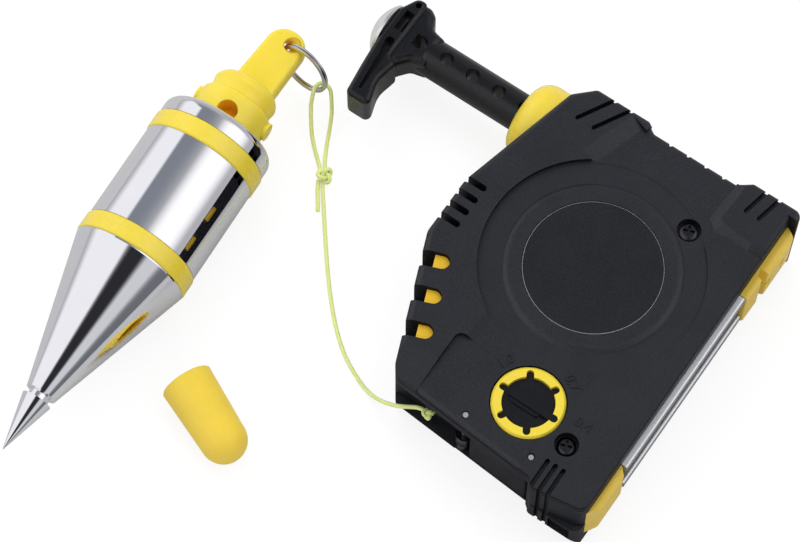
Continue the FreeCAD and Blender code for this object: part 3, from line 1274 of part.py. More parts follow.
FLOOR = LINE_D / 2 + 0.05
FEED_POINTS = [V(-WOUND_R * 0.985 - 0.9, -6.0, LINE_Z), V(EXIT.x, RECESS_Y + SIDE_WALL + 2.0, EXIT.z),
               STOP_KNOT + V(0.9, 0.5, 0)]
RUN_POINTS = [STOP_KNOT + V(-0.7, 0.15, 0.6), EXIT + V(-3.8, -1.9, -0.1), EXIT + V(-6.2, -2.3, -2.7),
              EXIT + V(-9.0, -3.05, -5.1), EXIT + V(-12.5, -3.6, -7.9), EXIT + V(-16.7, -3.4, -11.0),
              V(-36.2, -55.9, 1.2), V(-41.2, -54.05, FLOOR), V(-48.1, -50.5, FLOOR),
              V(-55.3, -44.6, FLOOR), V(-62.6, -36.9, FLOOR), V(-70.4, -27.5, FLOOR),
              V(-77.9, -17.8, FLOOR), V(-82.8, -11.7, 1.2)]
LOOP_KNOT = V(-83.3, -9.5, LOOP_KNOT_R + 0.1)
TAIL_POINTS = [V(-84.25, -11.3, 1.4), V(-83.15, -13.55, 0.85), V(-81.3, -16.0, FLOOR),
               V(-79.1, -19.1, FLOOR)]
LOOP_POINTS = [V(-86.0, -8.1, 1.3), V(-88.2, -6.2, 1.0), V(-90.6, -4.2, 1.5), V(-92.8, -2.2, 2.4),
               V(-94.7, 0.0, 4.0), V(-96.4, 2.3, 6.0), V(-97.9, 4.6, 8.2),
               ring_place(-0.4, -20, 2.6), ring_place(-1.7, -17, 1.2), ring_place(-1.7, -13, -1.0),
               ring_place(-0.2, -10, -2.1), ring_place(1.8, -8, -1.9),
               V(-93.8, 8.9, 8.2), V(-92.2, 6.8, 5.8), V(-91.0, 4.4, 3.9), V(-89.9, 1.9, 2.5),
               V(-88.7, -0.8, 1.5), V(-87.3, -3.6, 1.0), V(-85.3, -6.9, 1.5)]


def knot(centre, axis, radius, length):
    """Small hard knot, as a plain rounded barrel."""
    half = length / 2
    aim = V(axis.x, axis.y, axis.z).normalize()
    return turned([(-half, 0), (-half, radius * 0.5), (-half * 0.55, radius * 0.9),
                   (-half * 0.2, radius), (half * 0.2, radius), (half * 0.55, radius * 0.9),
                   (half, radius * 0.5), (half, 0)], centre, aim)


def build():
    parts = {
        "front_cover": front_cover(),
        "rear_cover": rear_cover(),
        "chassis": chassis(),
        "rod_collar": rod_collar(),
        "rod_friction_ring": rod_friction_ring(),
        "upper_foot": upper_foot(),
        "lower_foot": lower_foot(),
        "base_yokes": base_yokes(),
        "base_magnets": base_magnets(),
        "magnet_back_plate": magnet_back_plate(),
        "case_screws": case_screws(),
        "label_disc": label_disc(),
        "spool_axle": spool_axle(),
        "spool": spool(),
        "spring_cover": spring_cover(),
        "spool_washer": spool_washer(),
        "wound_line": wound_line(),
        "recoil_spring": recoil_spring(),
        "guide_pin": headed_pin(GUIDE_PIN),
        "guide_roller": guide_roller(),
        "lever_pin": headed_pin(LEVER_PIN),
        "brake_lever": brake_lever(),
        "brake_pad": brake_pad(),
        "dial_knob": dial_knob(),
        "dial_ring": dial_ring(),
        "brake_shoe": brake_shoe(),
        "shoe_lining": shoe_lining(),
        "shoe_pin": shoe_pin(),
        "t_handle": t_handle(),
        "strike_cap": strike_cap(),
        "needle_carrier": needle_carrier(),
        "needles": needles(),
        "carrier_screw": carrier_screw(),
        "exit_bush": exit_bush(),
        "line_feed": cord("line_feed", FEED_POINTS, LINE_D),
        "stop_knot": knot(STOP_KNOT, V(0.3, 0.2, 1), STOP_KNOT_R, 3.6),
        "line_run": cord("line_run", RUN_POINTS, LINE_D),
        "loop_knot": knot(LOOP_KNOT, V(-1, 1.1, 0), LOOP_KNOT_R, 4.8),
        "line_tail": cord("line_tail", TAIL_POINTS, LINE_D),
        "line_loop": cord("line_loop", LOOP_POINTS, LINE_D),
        "split_ring": split_ring(),
        "bob_head": bob_head(),
        "head_stud": head_stud(),
        "bob_body": bob_body(),
        "upper_bumper_ring": bumper_ring(0),
        "lower_bumper_ring": bumper_ring(1),
        "bob_tip": bob_tip(),
        "tip_cap": tip_cap(),
    }
    return parts


def main():
    os.makedirs("parts", exist_ok=True)
    for name, shape in build().items():
        shape.exportStep("parts/" + name + ".step")
        count = len(shape.Solids)
        print("%-20s solids %d volume %.1f valid %s" % (name, count, shape.Volume, shape.isValid()))


main()
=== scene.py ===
import math

import bpy
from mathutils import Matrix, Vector


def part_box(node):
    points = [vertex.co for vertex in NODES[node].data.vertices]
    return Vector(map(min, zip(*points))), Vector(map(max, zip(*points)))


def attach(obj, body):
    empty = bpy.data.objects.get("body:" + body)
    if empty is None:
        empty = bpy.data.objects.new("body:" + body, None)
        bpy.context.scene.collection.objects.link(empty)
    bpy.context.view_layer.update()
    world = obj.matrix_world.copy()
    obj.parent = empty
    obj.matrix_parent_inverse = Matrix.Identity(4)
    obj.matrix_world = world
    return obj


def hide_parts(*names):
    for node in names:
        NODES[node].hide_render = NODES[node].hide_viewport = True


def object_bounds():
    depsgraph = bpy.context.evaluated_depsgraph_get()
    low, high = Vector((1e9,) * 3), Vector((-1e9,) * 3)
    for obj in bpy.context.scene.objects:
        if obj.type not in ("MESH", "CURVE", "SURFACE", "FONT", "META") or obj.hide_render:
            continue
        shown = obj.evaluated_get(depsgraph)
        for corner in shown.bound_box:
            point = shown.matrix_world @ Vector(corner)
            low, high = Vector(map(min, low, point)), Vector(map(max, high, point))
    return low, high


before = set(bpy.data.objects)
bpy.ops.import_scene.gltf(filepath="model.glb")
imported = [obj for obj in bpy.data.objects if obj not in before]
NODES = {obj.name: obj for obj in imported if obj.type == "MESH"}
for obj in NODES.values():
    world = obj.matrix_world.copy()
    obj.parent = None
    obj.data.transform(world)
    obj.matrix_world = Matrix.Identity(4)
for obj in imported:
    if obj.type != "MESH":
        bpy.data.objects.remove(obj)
cad_low, cad_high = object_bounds()
MM = 0.001

# colours, linear
YELLOW = (0.85, 0.655, 0.050)
HEAD_YELLOW = (0.87, 0.690, 0.055)
CAP_YELLOW = (0.89, 0.645, 0.062)
FOOT_YELLOW = (0.80, 0.560, 0.060)
FRAME_YELLOW = (0.87, 0.530, 0.020)
# painted shade: the orange laid inside the holes of the bob's head
HOLE_SHADE_ORANGE = (0.96, 0.56, 0.015)
BLACK = (0.0110, 0.0116, 0.0155)
HANDLE_BLACK = (0.0060, 0.0062, 0.0080)
LABEL_BLACK = (0.0075, 0.0078, 0.0105)
# painted highlight on the label's rim
LABEL_RIM_HIGHLIGHT = (0.46, 0.46, 0.47)
FERRITE = (0.030, 0.031, 0.036)
RUBBER = (0.015, 0.015, 0.015)
FELT = (0.30, 0.29, 0.27)
PALE_PLASTIC = (0.55, 0.55, 0.52)
CHROME = (0.80, 0.80, 0.825)
RING_CHROME = (0.60, 0.585, 0.58)
TURNED_STEEL = (0.84, 0.84, 0.85)
GROUND_STEEL = (0.86, 0.87, 0.89)
DOME_STEEL = (0.92, 0.92, 0.91)
SPRING_STEEL = (0.30, 0.32, 0.36)
SCREW_BLACK = (0.06, 0.06, 0.065)
LIME = (0.86, 0.92, 0.38)
LIME_DARK = (0.74, 0.85, 0.24)

# procedural textures: scales per metre, depths in metres
MOTTLE_SCALE = 60.0        # faint patches of colour in plastic
GLOSS_SCALE = 140.0        # its uneven gloss
SINK_SCALE = 45.0          # slow unevenness of moulded faces
SINK_BUMP = 0.04
SMEAR_SCALE = 90.0         # uneven gloss of metal
CLOUD_ROUGH = 0.55         # share of finer detail in every texture
WEAVE_SCALE = 1500.0       # braid of the line
TONE_SCALE = 160.0         # paler and darker stretches of the line
GRAIN_DEPTH = 0.0001
STREAK_DEPTH = 0.00003
WEAVE_DEPTH = 0.00006
WEAVE_BUMP = 0.45
# side walls get painted shade: less gloss on the case, a darker colour on the yokes
WALL_FROM, WALL_TO = 0.35, 0.75     # normal's Z from side walls to faces
PLASTIC_ROUGH = (-0.05, 0.06)       # added to its roughness from place to place
PLASTIC_GLOSS = (0.75, 1.25)        # its gloss is multiplied by
METAL_ROUGH = (0.8, 1.25)           # metal's roughness is multiplied by
COAT_ROUGH = 0.12

# light that passes under the surface: share of each colour, reach in metres
PLASTIC_SCATTER = (1.0, 0.35, 0.05)
PLASTIC_REACH = 0.004
LINE_LOOK = {"Roughness": 0.55, "Sheen Weight": 0.25, "Sheen Roughness": 0.5, "Subsurface Weight": 0.4,
             "Subsurface Radius": (1.0, 1.0, 0.2), "Subsurface Scale": 0.0006}

# thin pale ring near the label's edge, a painted highlight on its rim, mm
LABEL_LINE_R = 19.4
LABEL_LINE_W = 0.16
LABEL_LINE_CORE = 0.4      # share of it in full colour

# sight window and strap hole of the bob's head, inside which orange shade is painted: middle, radius
# of full and of no effect, mm
HEAD_HOLE_SHADE_SPOTS = [((-110.35, -17.35, 23.5), 4.5, 5.0), ((-110.6, 11.6, 18.0), 2.5, 2.9)]

# line, mm
LINE_D = 1.2
RUN = [(-17.2, -55.25, 14.6), (-19.4, -55.1, 13.9), (-21.8, -55.5, 11.3), (-24.6, -56.25, 8.9),
       (-28.1, -56.8, 6.1), (-32.3, -56.6, 3.0), (-36.2, -55.9, 1.2), (-41.2, -54.05, 0.65),
       (-48.1, -50.5, 0.65), (-55.3, -44.6, 0.65), (-62.6, -36.9, 0.65), (-70.4, -27.5, 0.65),
       (-77.9, -17.8, 0.65), (-82.8, -11.7, 1.2), (-83.2, -10.4, 1.9)]
TAIL = [(-84.25, -11.3, 1.4), (-83.15, -13.55, 0.85), (-81.3, -16.0, 0.65), (-79.1, -19.1, 0.65)]
LOOP = [(-84.9, -9.3, 1.7), (-86.0, -8.1, 1.3), (-88.2, -6.2, 1.0), (-90.6, -4.2, 1.5),
        (-92.8, -2.2, 2.4), (-94.7, 0.0, 4.0), (-96.4, 2.3, 6.0), (-97.9, 4.6, 8.2),
        (-98.46, 6.45, 10.39), (-99.16, 8.08, 11.17), (-98.70, 10.28, 11.18), (-97.10, 11.13, 10.65),
        (-95.20, 10.63, 10.13), (-93.8, 8.9, 8.2), (-92.2, 6.8, 5.8), (-91.0, 4.4, 3.9),
        (-89.9, 1.9, 2.5), (-88.7, -0.8, 1.5), (-87.3, -3.6, 1.0), (-85.3, -6.9, 1.5),
        (-84.2, -8.0, 2.3)]

# overhand knots: control points of a turn, pitch and growth from strand to strand
KNOT_STEPS = 24
STRAND_PITCH = 0.80
STRAND_GROWTH = 0.10

# split ring: sizes in mm, places along the wire in degrees
RING_NORMAL = Vector((-0.110, -0.981, 0.161)).normalized()
RING_R = 7.8
RING_WIRE_W = 0.78
RING_WIRE_T = 1.40
RING_CORNER = 0.28
RING_PLAY = 0.03           # between the two turns
RING_ENDS = (14.0, 706.0)
RING_STEP = (345.0, 375.0)     # where one turn passes beside the other
RING_SECTIONS = 230

# numbers raised on the front by the dial, kg: text, place in mm, turn in degrees
DIAL_MARKS = [("1.0", (-4.6, -35.8), 61), ("0.7", (13.6, -30.8), -33), ("0.4", (22.7, -39.3), 0)]
MARK_H = 2.7
MARK_RISE = 0.28
MARK_BEVEL = 0.03
DIGIT_SHARE = 0.7          # a digit's height as a share of the font's size
ABOVE_ALL = 0.2            # height from which the front face is sought, m

# floor: half its side and its gap below the part in metres, grey levels
FLOOR_HALF = 3.0
FLOOR_GAP = 0.0001
FLOOR_GLOW = 0.84          # what the camera sees of it without light
FLOOR_LIT = 0.20           # what it adds in the light, so that the shadow shows
FLOOR_BOUNCE = 0.86        # for light that it throws back
FLOOR_MIRRORED = 0.58      # for reflections in the part

# sky: direction, cosine from it where the patch starts and is full, colour
SKY = (0.52, 0.52, 0.54)
PATCHES = [((-0.50, 0.30, 0.81), 0.75, 1.00, (0.250, 0.270, 0.310)),      # ceiling behind
           ((-0.638, -0.729, -0.246), -0.03, 0.05, (1.04, 1.04, 1.07)),   # wide panel on the left
           ((0.60, 0.34, 0.72), 0.82, 1.00, (1.30, 1.30, 1.32)),          # panel on the right
           ((0.68, -0.25, 0.68), 0.90, 0.98, (0.72, 0.73, 0.76)),         # its spill in front
           ((0.30, -0.95, 0.10), 0.60, 0.86, (0.62, 0.62, 0.63)),         # room in front
           ((0.25, -0.28, 0.92), 0.915, 0.985, (0.030, 0.030, 0.034)),    # dark by the lens
           ((0.0, 0.0, -1.0), -0.30, 0.00, (0.53, 0.53, 0.55)),           # low along the table
           ((0.985, -0.16, 0.10), 0.910, 0.995, (0.17, 0.18, 0.20))]      # doorway on the right
WHITE = (1.0, 1.0, 1.0)

# lamps: place and size in metres, watts
LAMPS = [((-0.75, 0.55, 1.10), 0.9, 6.2), ((0.15, 0.25, 1.30), 0.9, 4.4)]

# camera: place and reach in metres, tilt and turn in degrees, lens and sensor in mm
CAMERA_SPOT = (0.14608, -0.30439, 0.87510)
CAMERA_TILT = 21.5
CAMERA_TURN = 34.6
CAMERA_LENS = 150.0
CAMERA_SENSOR = 36.0
CAMERA_REACH = 10.0


# ------------------------------------------------------------------ shader helpers
def new_material(name):
    material = bpy.data.materials.new(name)
    material.use_nodes = True
    tree = material.node_tree
    shader = tree.nodes["Principled BSDF"]
    return material, tree, shader


def put(node, values):
    """Sets a node's inputs from a table of their names and values."""
    for key, value in values.items():
        node.inputs[key].default_value = value


def place(tree, scale=(1.0, 1.0, 1.0), kind="Object"):
    """Texture coordinates of a kind, scaled."""
    coords = tree.nodes.new("ShaderNodeTexCoord")
    mapping = tree.nodes.new("ShaderNodeMapping")
    mapping.inputs["Scale"].default_value = scale
    tree.links.new(coords.outputs[kind], mapping.inputs["Vector"])
    return mapping.outputs["Vector"]


def cloud(tree, vector, scale, detail=3.0):
    """Noise texture."""
    made = tree.nodes.new("ShaderNodeTexNoise")
    put(made, {"Scale": scale, "Detail": detail, "Roughness": CLOUD_ROUGH})
    tree.links.new(vector, made.inputs["Vector"])
    return made.outputs["Fac"]


def spread(tree, value, low, high, start=0.3, end=0.7, soft=False):
    """Value from low to high as the input goes from start to end."""
    made = tree.nodes.new("ShaderNodeMapRange")
    if soft:
        made.interpolation_type = "SMOOTHSTEP"
    put(made, {"From Min": start, "From Max": end, "To Min": low, "To Max": high})
    tree.links.new(value, made.inputs["Value"])
    return made.outputs["Result"]


def mix(tree, value, first, second):
    """Colour from first to second as value goes from 0 to 1; each a colour or a socket."""
    made = tree.nodes.new("ShaderNodeMix")
    made.data_type = "RGBA"
    tree.links.new(value, made.inputs["Factor"])
    for key, colour in (("A", first), ("B", second)):
        if isinstance(colour, tuple):
            made.inputs[key].default_value = (*colour, 1)
        else:
            tree.links.new(colour, made.inputs[key])
    return made.outputs["Result"]


def reckon(tree, operation, value, other=None):
    """Math node on a value and a number or a second socket."""
    made = tree.nodes.new("ShaderNodeMath")
    made.operation = operation
    tree.links.new(value, made.inputs[0])
    if isinstance(other, float):
        made.inputs[1].default_value = other
    elif other is not None:
        tree.links.new(other, made.inputs[1])
    return made.outputs["Value"]


def compare(tree, operation, vector, other=None):
    """Vector node that gives a number, from a socket and a fixed vector."""
    made = tree.nodes.new("ShaderNodeVectorMath")
    made.operation = operation
    tree.links.new(vector, made.inputs[0])
    if other is not None:
        made.inputs[1].default_value = other
    return made.outputs["Value"]


def walls(tree, low, high):
    """Value from low on side walls to high on faces that look to the front or back; it lays painted
    shade on the walls.
    """
    coords = tree.nodes.new("ShaderNodeTexCoord")
    parts = tree.nodes.new("ShaderNodeSeparateXYZ")
    tree.links.new(coords.outputs["Normal"], parts.inputs[0])
    size = reckon(tree, "ABSOLUTE", parts.outputs["Z"])
    return spread(tree, size, low, high, WALL_FROM, WALL_TO, True)


def bumped(tree, shader, heights, depth):
    """Chains bumps from (height, strength) onto the shader's normal."""
    last = None
    for height, strength in heights:
        bump = tree.nodes.new("ShaderNodeBump")
        put(bump, {"Strength": strength, "Distance": depth})
        tree.links.new(height, bump.inputs["Height"])
        if last:
            tree.links.new(last, bump.inputs["Normal"])
        last = bump.outputs["Normal"]
    tree.links.new(last, shader.inputs["Normal"])


def shades(colour, change):
    """The colour darker and lighter by a share."""
    return (tuple(c * (1 - change) for c in colour), tuple(min(1.0, c * (1 + change)) for c in colour))


def moulded(name, colour, rough, grain=900.0, grain_bump=0.2, mottle=0.12, subsurface=0.0, coat=0.0,
            gloss=0.5, wall_shade_gloss=1.0):
    """Moulded plastic: fine grain, faint mottling, uneven gloss, and painted shade on side walls by a
    lower gloss there.
    """
    material, tree, shader = new_material(name)
    where = place(tree)
    dark, light = shades(colour, mottle)
    patches = spread(tree, cloud(tree, where, MOTTLE_SCALE), 0, 1)
    tree.links.new(mix(tree, patches, dark, light), shader.inputs["Base Color"])
    uneven = cloud(tree, where, GLOSS_SCALE, 4.0)
    tree.links.new(spread(tree, uneven, rough + PLASTIC_ROUGH[0], rough + PLASTIC_ROUGH[1]),
                   shader.inputs["Roughness"])
    grains = cloud(tree, where, grain, 2.0)
    shine = spread(tree, grains, gloss * PLASTIC_GLOSS[0], gloss * PLASTIC_GLOSS[1])
    # painted shade: side walls reflect less
    tree.links.new(reckon(tree, "MULTIPLY", shine, walls(tree, wall_shade_gloss, 1.0)),
                   shader.inputs["Specular IOR Level"])
    sinks = cloud(tree, where, SINK_SCALE, 2.0)
    bumped(tree, shader, [(grains, grain_bump), (sinks, SINK_BUMP)], GRAIN_DEPTH)
    if subsurface:
        put(shader, {"Subsurface Weight": subsurface, "Subsurface Radius": PLASTIC_SCATTER,
                     "Subsurface Scale": PLASTIC_REACH})
    if coat:
        put(shader, {"Coat Weight": coat, "Coat Roughness": COAT_ROUGH})
    return material


def metal(name, colour, rough, streak=(1.0, 1.0, 1.0), streak_scale=400.0, streak_bump=0.05,
          variation=0.05, wall_shade=1.0, metallic=1.0):
    """Metal with fine streaks along the axis with the smallest streak value, and side walls darkened
    as painted shade.
    """
    material, tree, shader = new_material(name)
    where = place(tree, streak)
    shader.inputs["Metallic"].default_value = metallic
    dark, _ = shades(colour, variation)
    face = mix(tree, spread(tree, cloud(tree, where, streak_scale, 4.0), 0, 1), dark, colour)
    # painted shade: side walls take a darker colour
    tree.links.new(mix(tree, walls(tree, 0, 1), tuple(c * wall_shade for c in colour), face),
                   shader.inputs["Base Color"])
    smears = cloud(tree, place(tree), SMEAR_SCALE, 4.0)
    tree.links.new(spread(tree, smears, rough * METAL_ROUGH[0], rough * METAL_ROUGH[1]),
                   shader.inputs["Roughness"])
    streaks = cloud(tree, where, streak_scale * 2.0, 3.0)
    bumped(tree, shader, [(streaks, streak_bump)], STREAK_DEPTH)
    return material


def recoloured(material, value, colour):
    """Turns a material's colour into another one where value is 1."""
    tree = material.node_tree
    base = tree.nodes["Principled BSDF"].inputs["Base Color"]
    tree.links.new(mix(tree, value, base.links[0].from_socket, colour), base)


def head_material():
    """Yellow plastic with painted orange shade inside its holes."""
    material = moulded("head_yellow", HEAD_YELLOW, 0.34, grain=600.0, grain_bump=0.06, mottle=0.05,
                       subsurface=0.35, coat=0.15)
    tree = material.node_tree
    # paint orange shade inside each hole
    for middle, full, none in HEAD_HOLE_SHADE_SPOTS:
        away = compare(tree, "DISTANCE", place(tree), Vector(middle) * MM)
        recoloured(material, spread(tree, away, 1, 0, full * MM, none * MM, True), HOLE_SHADE_ORANGE)
    return material


def label_material():
    """Smooth black label with one thin pale ring near its edge, a painted highlight on its rim."""
    material = moulded("label_black", LABEL_BLACK, 0.30, grain=1600.0, grain_bump=0.10, mottle=0.10)
    tree = material.node_tree
    radius = compare(tree, "LENGTH", place(tree, (1.0, 1.0, 0.0)))
    off = reckon(tree, "ABSOLUTE", reckon(tree, "SUBTRACT", radius, LABEL_LINE_R * MM))
    width = LABEL_LINE_W * MM
    on_rim_highlight = spread(tree, off, 1, 0, width * LABEL_LINE_CORE, width, True)
    # painted highlight along the label's rim
    recoloured(material, on_rim_highlight, LABEL_RIM_HIGHLIGHT)
    return material


def line_material():
    """Tight pale braid: fine grain across a soft, slightly see-through cord."""
    material, tree, shader = new_material("line_braid")
    where = place(tree)
    weave = cloud(tree, where, WEAVE_SCALE, 2.0)
    tone = cloud(tree, where, TONE_SCALE)
    woven = mix(tree, spread(tree, weave, 0, 1), LIME_DARK, LIME)
    tree.links.new(mix(tree, spread(tree, tone, 0.0, 0.35), woven, LIME), shader.inputs["Base Color"])
    put(shader, LINE_LOOK)
    bumped(tree, shader, [(weave, WEAVE_BUMP)], WEAVE_DEPTH)
    return material


def paint(material, *names):
    for name in names:
        mesh = NODES[name].data
        mesh.materials.clear()
        mesh.materials.append(material)


# ------------------------------------------------------------------ materials on the CAD nodes
# the case's side walls get painted shade by a lower gloss
case_black = moulded("case_black", BLACK, 0.42, grain=2800.0, grain_bump=0.45, wall_shade_gloss=0.10)
satin_black = moulded("satin_black", HANDLE_BLACK, 0.24, grain=1800.0, grain_bump=0.10, gloss=0.36)
gloss_yellow = moulded("gloss_yellow", YELLOW, 0.28, grain=700.0, grain_bump=0.05, mottle=0.04,
                       subsurface=0.08, coat=0.2)
foot_yellow = moulded("foot_yellow", FOOT_YELLOW, 0.40, grain_bump=0.10, mottle=0.05, subsurface=0.05)
frame_yellow = moulded("frame_yellow", FRAME_YELLOW, 0.40, grain_bump=0.10, mottle=0.05,
                       subsurface=0.05)
cap_yellow = moulded("cap_yellow", CAP_YELLOW, 0.42, grain=1100.0, grain_bump=0.06, mottle=0.04,
                     subsurface=0.45)
pale_plastic = moulded("pale_plastic", PALE_PLASTIC, 0.45)
dark_rubber = moulded("dark_rubber", RUBBER, 0.75, grain=1200.0)
felt = moulded("felt", FELT, 0.90, grain=2200.0, grain_bump=0.6, mottle=0.15)
ferrite = moulded("ferrite", FERRITE, 0.50, grain=1800.0, grain_bump=0.25, mottle=0.10)
chrome = metal("chrome", CHROME, 0.035, streak_scale=260.0, streak_bump=0.015, variation=0.02)
ring_chrome = metal("ring_chrome", RING_CHROME, 0.08, streak_scale=500.0, streak_bump=0.04)
turned_steel = metal("turned_steel", TURNED_STEEL, 0.40, streak_scale=1600.0, streak_bump=0.30)
# the yokes' side walls get painted shade by a darker colour
ground_steel = metal("ground_steel", GROUND_STEEL, 0.26, streak=(1.0, 0.03, 1.0), streak_scale=1500.0,
                     streak_bump=0.14, wall_shade=0.30, metallic=0.45)
brushed_dome = metal("brushed_dome", DOME_STEEL, 0.40, streak_scale=1400.0, streak_bump=0.20)
spring_steel = metal("spring_steel", SPRING_STEEL, 0.28)
black_screw = metal("black_screw", SCREW_BLACK, 0.24)
line_braid = line_material()

paint(case_black, "front_cover", "rear_cover", "brake_lever")
paint(satin_black, "t_handle", "needle_carrier", "dial_knob", "exit_bush", "guide_roller")
# The head stud, seen only inside the bob's head, takes this deeper orange as painted shade.
paint(frame_yellow, "chassis", "head_stud")
paint(foot_yellow, "upper_foot", "lower_foot")
paint(gloss_yellow, "rod_collar", "dial_ring", "upper_bumper_ring", "lower_bumper_ring")
paint(head_material(), "bob_head")
paint(cap_yellow, "tip_cap")
paint(label_material(), "label_disc")
paint(pale_plastic, "spool", "brake_shoe")
paint(felt, "shoe_lining")
paint(dark_rubber, "brake_pad", "rod_friction_ring")
paint(chrome, "bob_body", "bob_tip")
paint(turned_steel, "guide_pin", "lever_pin", "shoe_pin", "spool_axle", "spool_washer", "needles",
      "carrier_screw")
paint(ground_steel, "base_yokes", "magnet_back_plate")
paint(ferrite, "base_magnets")
paint(brushed_dome, "strike_cap")
paint(spring_steel, "recoil_spring", "spring_cover")
paint(black_screw, "case_screws")
paint(line_braid, "wound_line", "line_feed")


# ------------------------------------------------------------------ pieces
def add(name, data, material):
    """New object of one material, in the scene."""
    data.materials.append(material)
    obj = bpy.data.objects.new(name, data)
    bpy.context.scene.collection.objects.link(obj)
    return obj


def middle_of(node):
    """Middle of a node's box, in metres."""
    low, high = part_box(node)
    return (Vector(low) + Vector(high)) / 2


def line_piece(name, node, routes, closed=False):
    """Line in place of a node: a NURBS spline through each route's control points, in mm."""
    curve = bpy.data.curves.new(name, "CURVE")
    curve.dimensions = "3D"
    curve.bevel_depth = LINE_D * MM / 2
    curve.bevel_resolution = 4
    curve.resolution_u = 12
    curve.use_fill_caps = True
    for rows in routes:
        spline = curve.splines.new("NURBS")
        spline.points.add(len(rows) - 1)
        for point, row in zip(spline.points, rows):
            point.co = (*(Vector(row) * MM), 1.0)
        spline.order_u = 3
        spline.use_cyclic_u = closed
        spline.use_endpoint_u = not closed
    piece = add(name, curve, line_braid)
    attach(piece, "case")
    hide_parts(node)
    return piece


def overhand(name, node, size, flat, strands, aim):
    """Overhand knot in place of a plain one: a trefoil of one or two strands, facing aim."""
    middle = middle_of(node) / MM
    turn = Vector(aim).to_track_quat("Z", "Y").to_matrix()
    routes = []
    for strand in range(strands):
        lift = (strand - (strands - 1) / 2) * LINE_D * STRAND_PITCH
        reach = size * (1 + STRAND_GROWTH * strand) / 3
        rows = []
        for i in range(KNOT_STEPS):
            t = 2 * math.pi * i / KNOT_STEPS
            x = math.sin(t) + 2 * math.sin(2 * t)
            y = math.cos(t) - 2 * math.cos(2 * t)
            z = -math.sin(3 * t)
            rows.append(middle + turn @ Vector((x * reach, y * reach, z * flat + lift)))
        routes.append(rows)
    return line_piece(name, node, routes, closed=True)


run = line_piece("line_run_braid", "line_run", [RUN])
tail = line_piece("line_tail_braid", "line_tail", [TAIL])
loop = line_piece("line_loop_braid", "line_loop", [LOOP])
exit_knot = overhand("stop_knot_tied", "stop_knot", 1.30, 0.55, 1, (0.3, -0.6, 0.7))
loop_knot = overhand("loop_knot_tied", "loop_knot", 1.95, 0.60, 2, (0.35, -0.25, 0.9))


def split_ring():
    """Flat wire wound twice round, with the step where one turn passes beside the other."""
    middle = middle_of("split_ring")
    across = RING_NORMAL.orthogonal().normalized()
    up = RING_NORMAL.cross(across)
    half_w = RING_WIRE_W / 2
    half_t = RING_WIRE_T / 2
    profile = [(-half_w, -half_t + RING_CORNER), (-half_w + RING_CORNER, -half_t),
               (half_w - RING_CORNER, -half_t), (half_w, -half_t + RING_CORNER),
               (half_w, half_t - RING_CORNER), (half_w - RING_CORNER, half_t),
               (-half_w + RING_CORNER, half_t), (-half_w, half_t - RING_CORNER)]
    sides = len(profile)
    verts = []
    for i in range(RING_SECTIONS):
        turn = RING_ENDS[0] + (RING_ENDS[1] - RING_ENDS[0]) * i / (RING_SECTIONS - 1)
        part = min(1.0, max(0.0, (turn - RING_STEP[0]) / (RING_STEP[1] - RING_STEP[0])))
        beside = (part * part * (3 - 2 * part) - 0.5) * (RING_WIRE_W + RING_PLAY)
        angle = math.radians(turn)
        arm = across * math.cos(angle) + up * math.sin(angle)
        for along, out in profile:
            verts.append(middle + (arm * (RING_R + out) + RING_NORMAL * (along + beside)) * MM)
    faces = []
    for i in range(RING_SECTIONS - 1):
        for k in range(sides):
            faces.append((i * sides + k, i * sides + (k + 1) % sides,
                          (i + 1) * sides + (k + 1) % sides, (i + 1) * sides + k))
    faces.append(tuple(range(sides - 1, -1, -1)))
    faces.append(tuple((RING_SECTIONS - 1) * sides + k for k in range(sides)))
    mesh = bpy.data.meshes.new("split_ring_wire")
    mesh.from_pydata(verts, [], faces)
    mesh.polygons.foreach_set("use_smooth", [True] * len(mesh.polygons))
    obj = add("split_ring_wire", mesh, ring_chrome)
    edges = obj.modifiers.new("smooth", "SUBSURF")
    edges.levels = edges.render_levels = 1
    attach(obj, "case")
    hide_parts("split_ring")


def face_height(node, x, y):
    """Height of a node's front face at a place in mm, in metres."""
    hit, spot, _, _ = NODES[node].ray_cast(Vector((x * MM, y * MM, ABOVE_ALL)), Vector((0, 0, -1)))
    return spot.z if hit else cad_high.z


def dial_marks():
    """Raised numbers in the case's own plastic."""
    for text, spot, turn in DIAL_MARKS:
        curve = bpy.data.curves.new("mark_" + text, "FONT")
        curve.body = text
        curve.size = MARK_H * MM / DIGIT_SHARE
        curve.align_x = "CENTER"
        curve.align_y = "CENTER"
        curve.extrude = MARK_RISE * MM
        curve.bevel_depth = MARK_BEVEL * MM
        obj = add("mark_" + text, curve, case_black)
        obj.location = (spot[0] * MM, spot[1] * MM, face_height("front_cover", *spot))
        obj.rotation_euler = (0, 0, math.radians(turn))
        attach(obj, "case")


split_ring()
dial_marks()


# ------------------------------------------------------------------ floor, sky, lamps and camera
def diffuse(tree, colour):
    """Diffuse shader of a colour or a socket."""
    made = tree.nodes.new("ShaderNodeBsdfDiffuse")
    if isinstance(colour, tuple):
        made.inputs["Color"].default_value = (*colour, 1)
    else:
        tree.links.new(colour, made.inputs["Color"])
    return made.outputs[0]


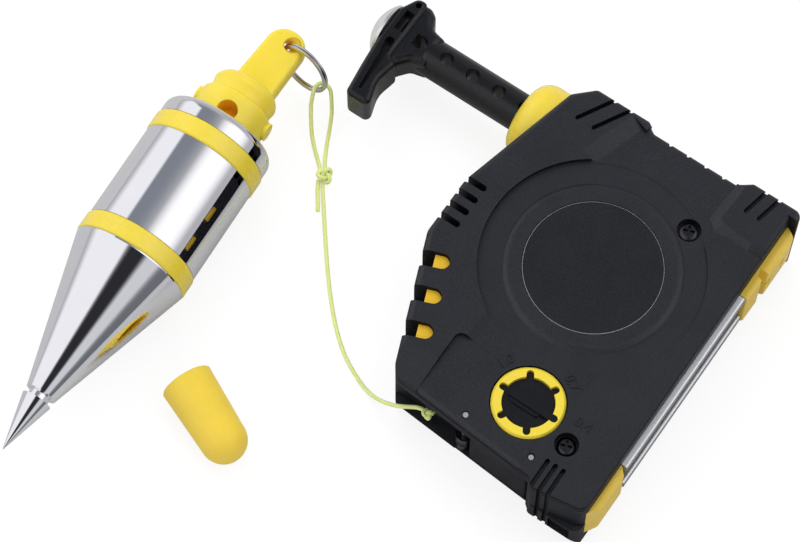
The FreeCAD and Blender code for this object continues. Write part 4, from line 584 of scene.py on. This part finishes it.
def floor():
    """White floor with a faint shadow; only the camera sees its glow."""
    size = FLOOR_HALF
    mesh = bpy.data.meshes.new("floor")
    mesh.from_pydata([(-size, -size, 0), (size, -size, 0), (size, size, 0), (-size, size, 0)], [],
                     [(0, 1, 2, 3)])
    material = bpy.data.materials.new("floor_white")
    material.use_nodes = True
    tree = material.node_tree
    tree.nodes.remove(tree.nodes["Principled BSDF"])
    rays = tree.nodes.new("ShaderNodeLightPath")
    plain = mix(tree, rays.outputs["Is Glossy Ray"], (FLOOR_BOUNCE,) * 3, (FLOOR_MIRRORED,) * 3)
    glow = tree.nodes.new("ShaderNodeEmission")
    glow.inputs["Strength"].default_value = FLOOR_GLOW
    lit = tree.nodes.new("ShaderNodeAddShader")
    tree.links.new(diffuse(tree, (FLOOR_LIT,) * 3), lit.inputs[0])
    tree.links.new(glow.outputs[0], lit.inputs[1])
    either = tree.nodes.new("ShaderNodeMixShader")
    tree.links.new(rays.outputs["Is Camera Ray"], either.inputs[0])
    tree.links.new(diffuse(tree, plain), either.inputs[1])
    tree.links.new(lit.outputs[0], either.inputs[2])
    tree.links.new(either.outputs[0], tree.nodes["Material Output"].inputs["Surface"])
    obj = add("floor", mesh, material)
    obj.location.z = cad_low.z - FLOOR_GAP


def sky():
    """Studio sky: soft panels, a dim ceiling and dark patches; white to the camera."""
    world = bpy.data.worlds.new("studio")
    world.use_nodes = True
    bpy.context.scene.world = world
    tree = world.node_tree
    toward = place(tree, kind="Generated")
    colour = SKY
    for aim, start, full, patch in PATCHES:
        near = compare(tree, "DOT_PRODUCT", toward, Vector(aim).normalized())
        colour = mix(tree, spread(tree, near, 0, 1, start, full, True), colour, patch)
    rays = tree.nodes.new("ShaderNodeLightPath")
    tree.links.new(mix(tree, rays.outputs["Is Camera Ray"], colour, WHITE),
                   tree.nodes["Background"].inputs["Color"])


def lamps():
    """Soft lamps aimed at the part, kept out of the polished steel's reflections."""
    for i, (spot, size, watts) in enumerate(LAMPS):
        data = bpy.data.lights.new("softbox_%d" % i, "AREA")
        data.shape = "SQUARE"
        data.size = size
        data.energy = watts
        obj = bpy.data.objects.new("softbox_%d" % i, data)
        obj.location = spot
        obj.rotation_mode = "QUATERNION"
        obj.rotation_quaternion = (-Vector(spot)).to_track_quat("-Z", "Y")
        obj.visible_glossy = False
        bpy.context.scene.collection.objects.link(obj)


def camera():
    data = bpy.data.cameras.new("camera")
    data.lens = CAMERA_LENS
    data.sensor_width = CAMERA_SENSOR
    data.clip_end = CAMERA_REACH
    obj = bpy.data.objects.new("camera", data)
    obj.location = CAMERA_SPOT
    obj.rotation_euler = (math.radians(CAMERA_TILT), 0, math.radians(CAMERA_TURN))
    bpy.context.scene.collection.objects.link(obj)
    bpy.context.scene.camera = obj
    bpy.context.scene.view_settings.view_transform = "Standard"


floor()
sky()
lamps()
camera()
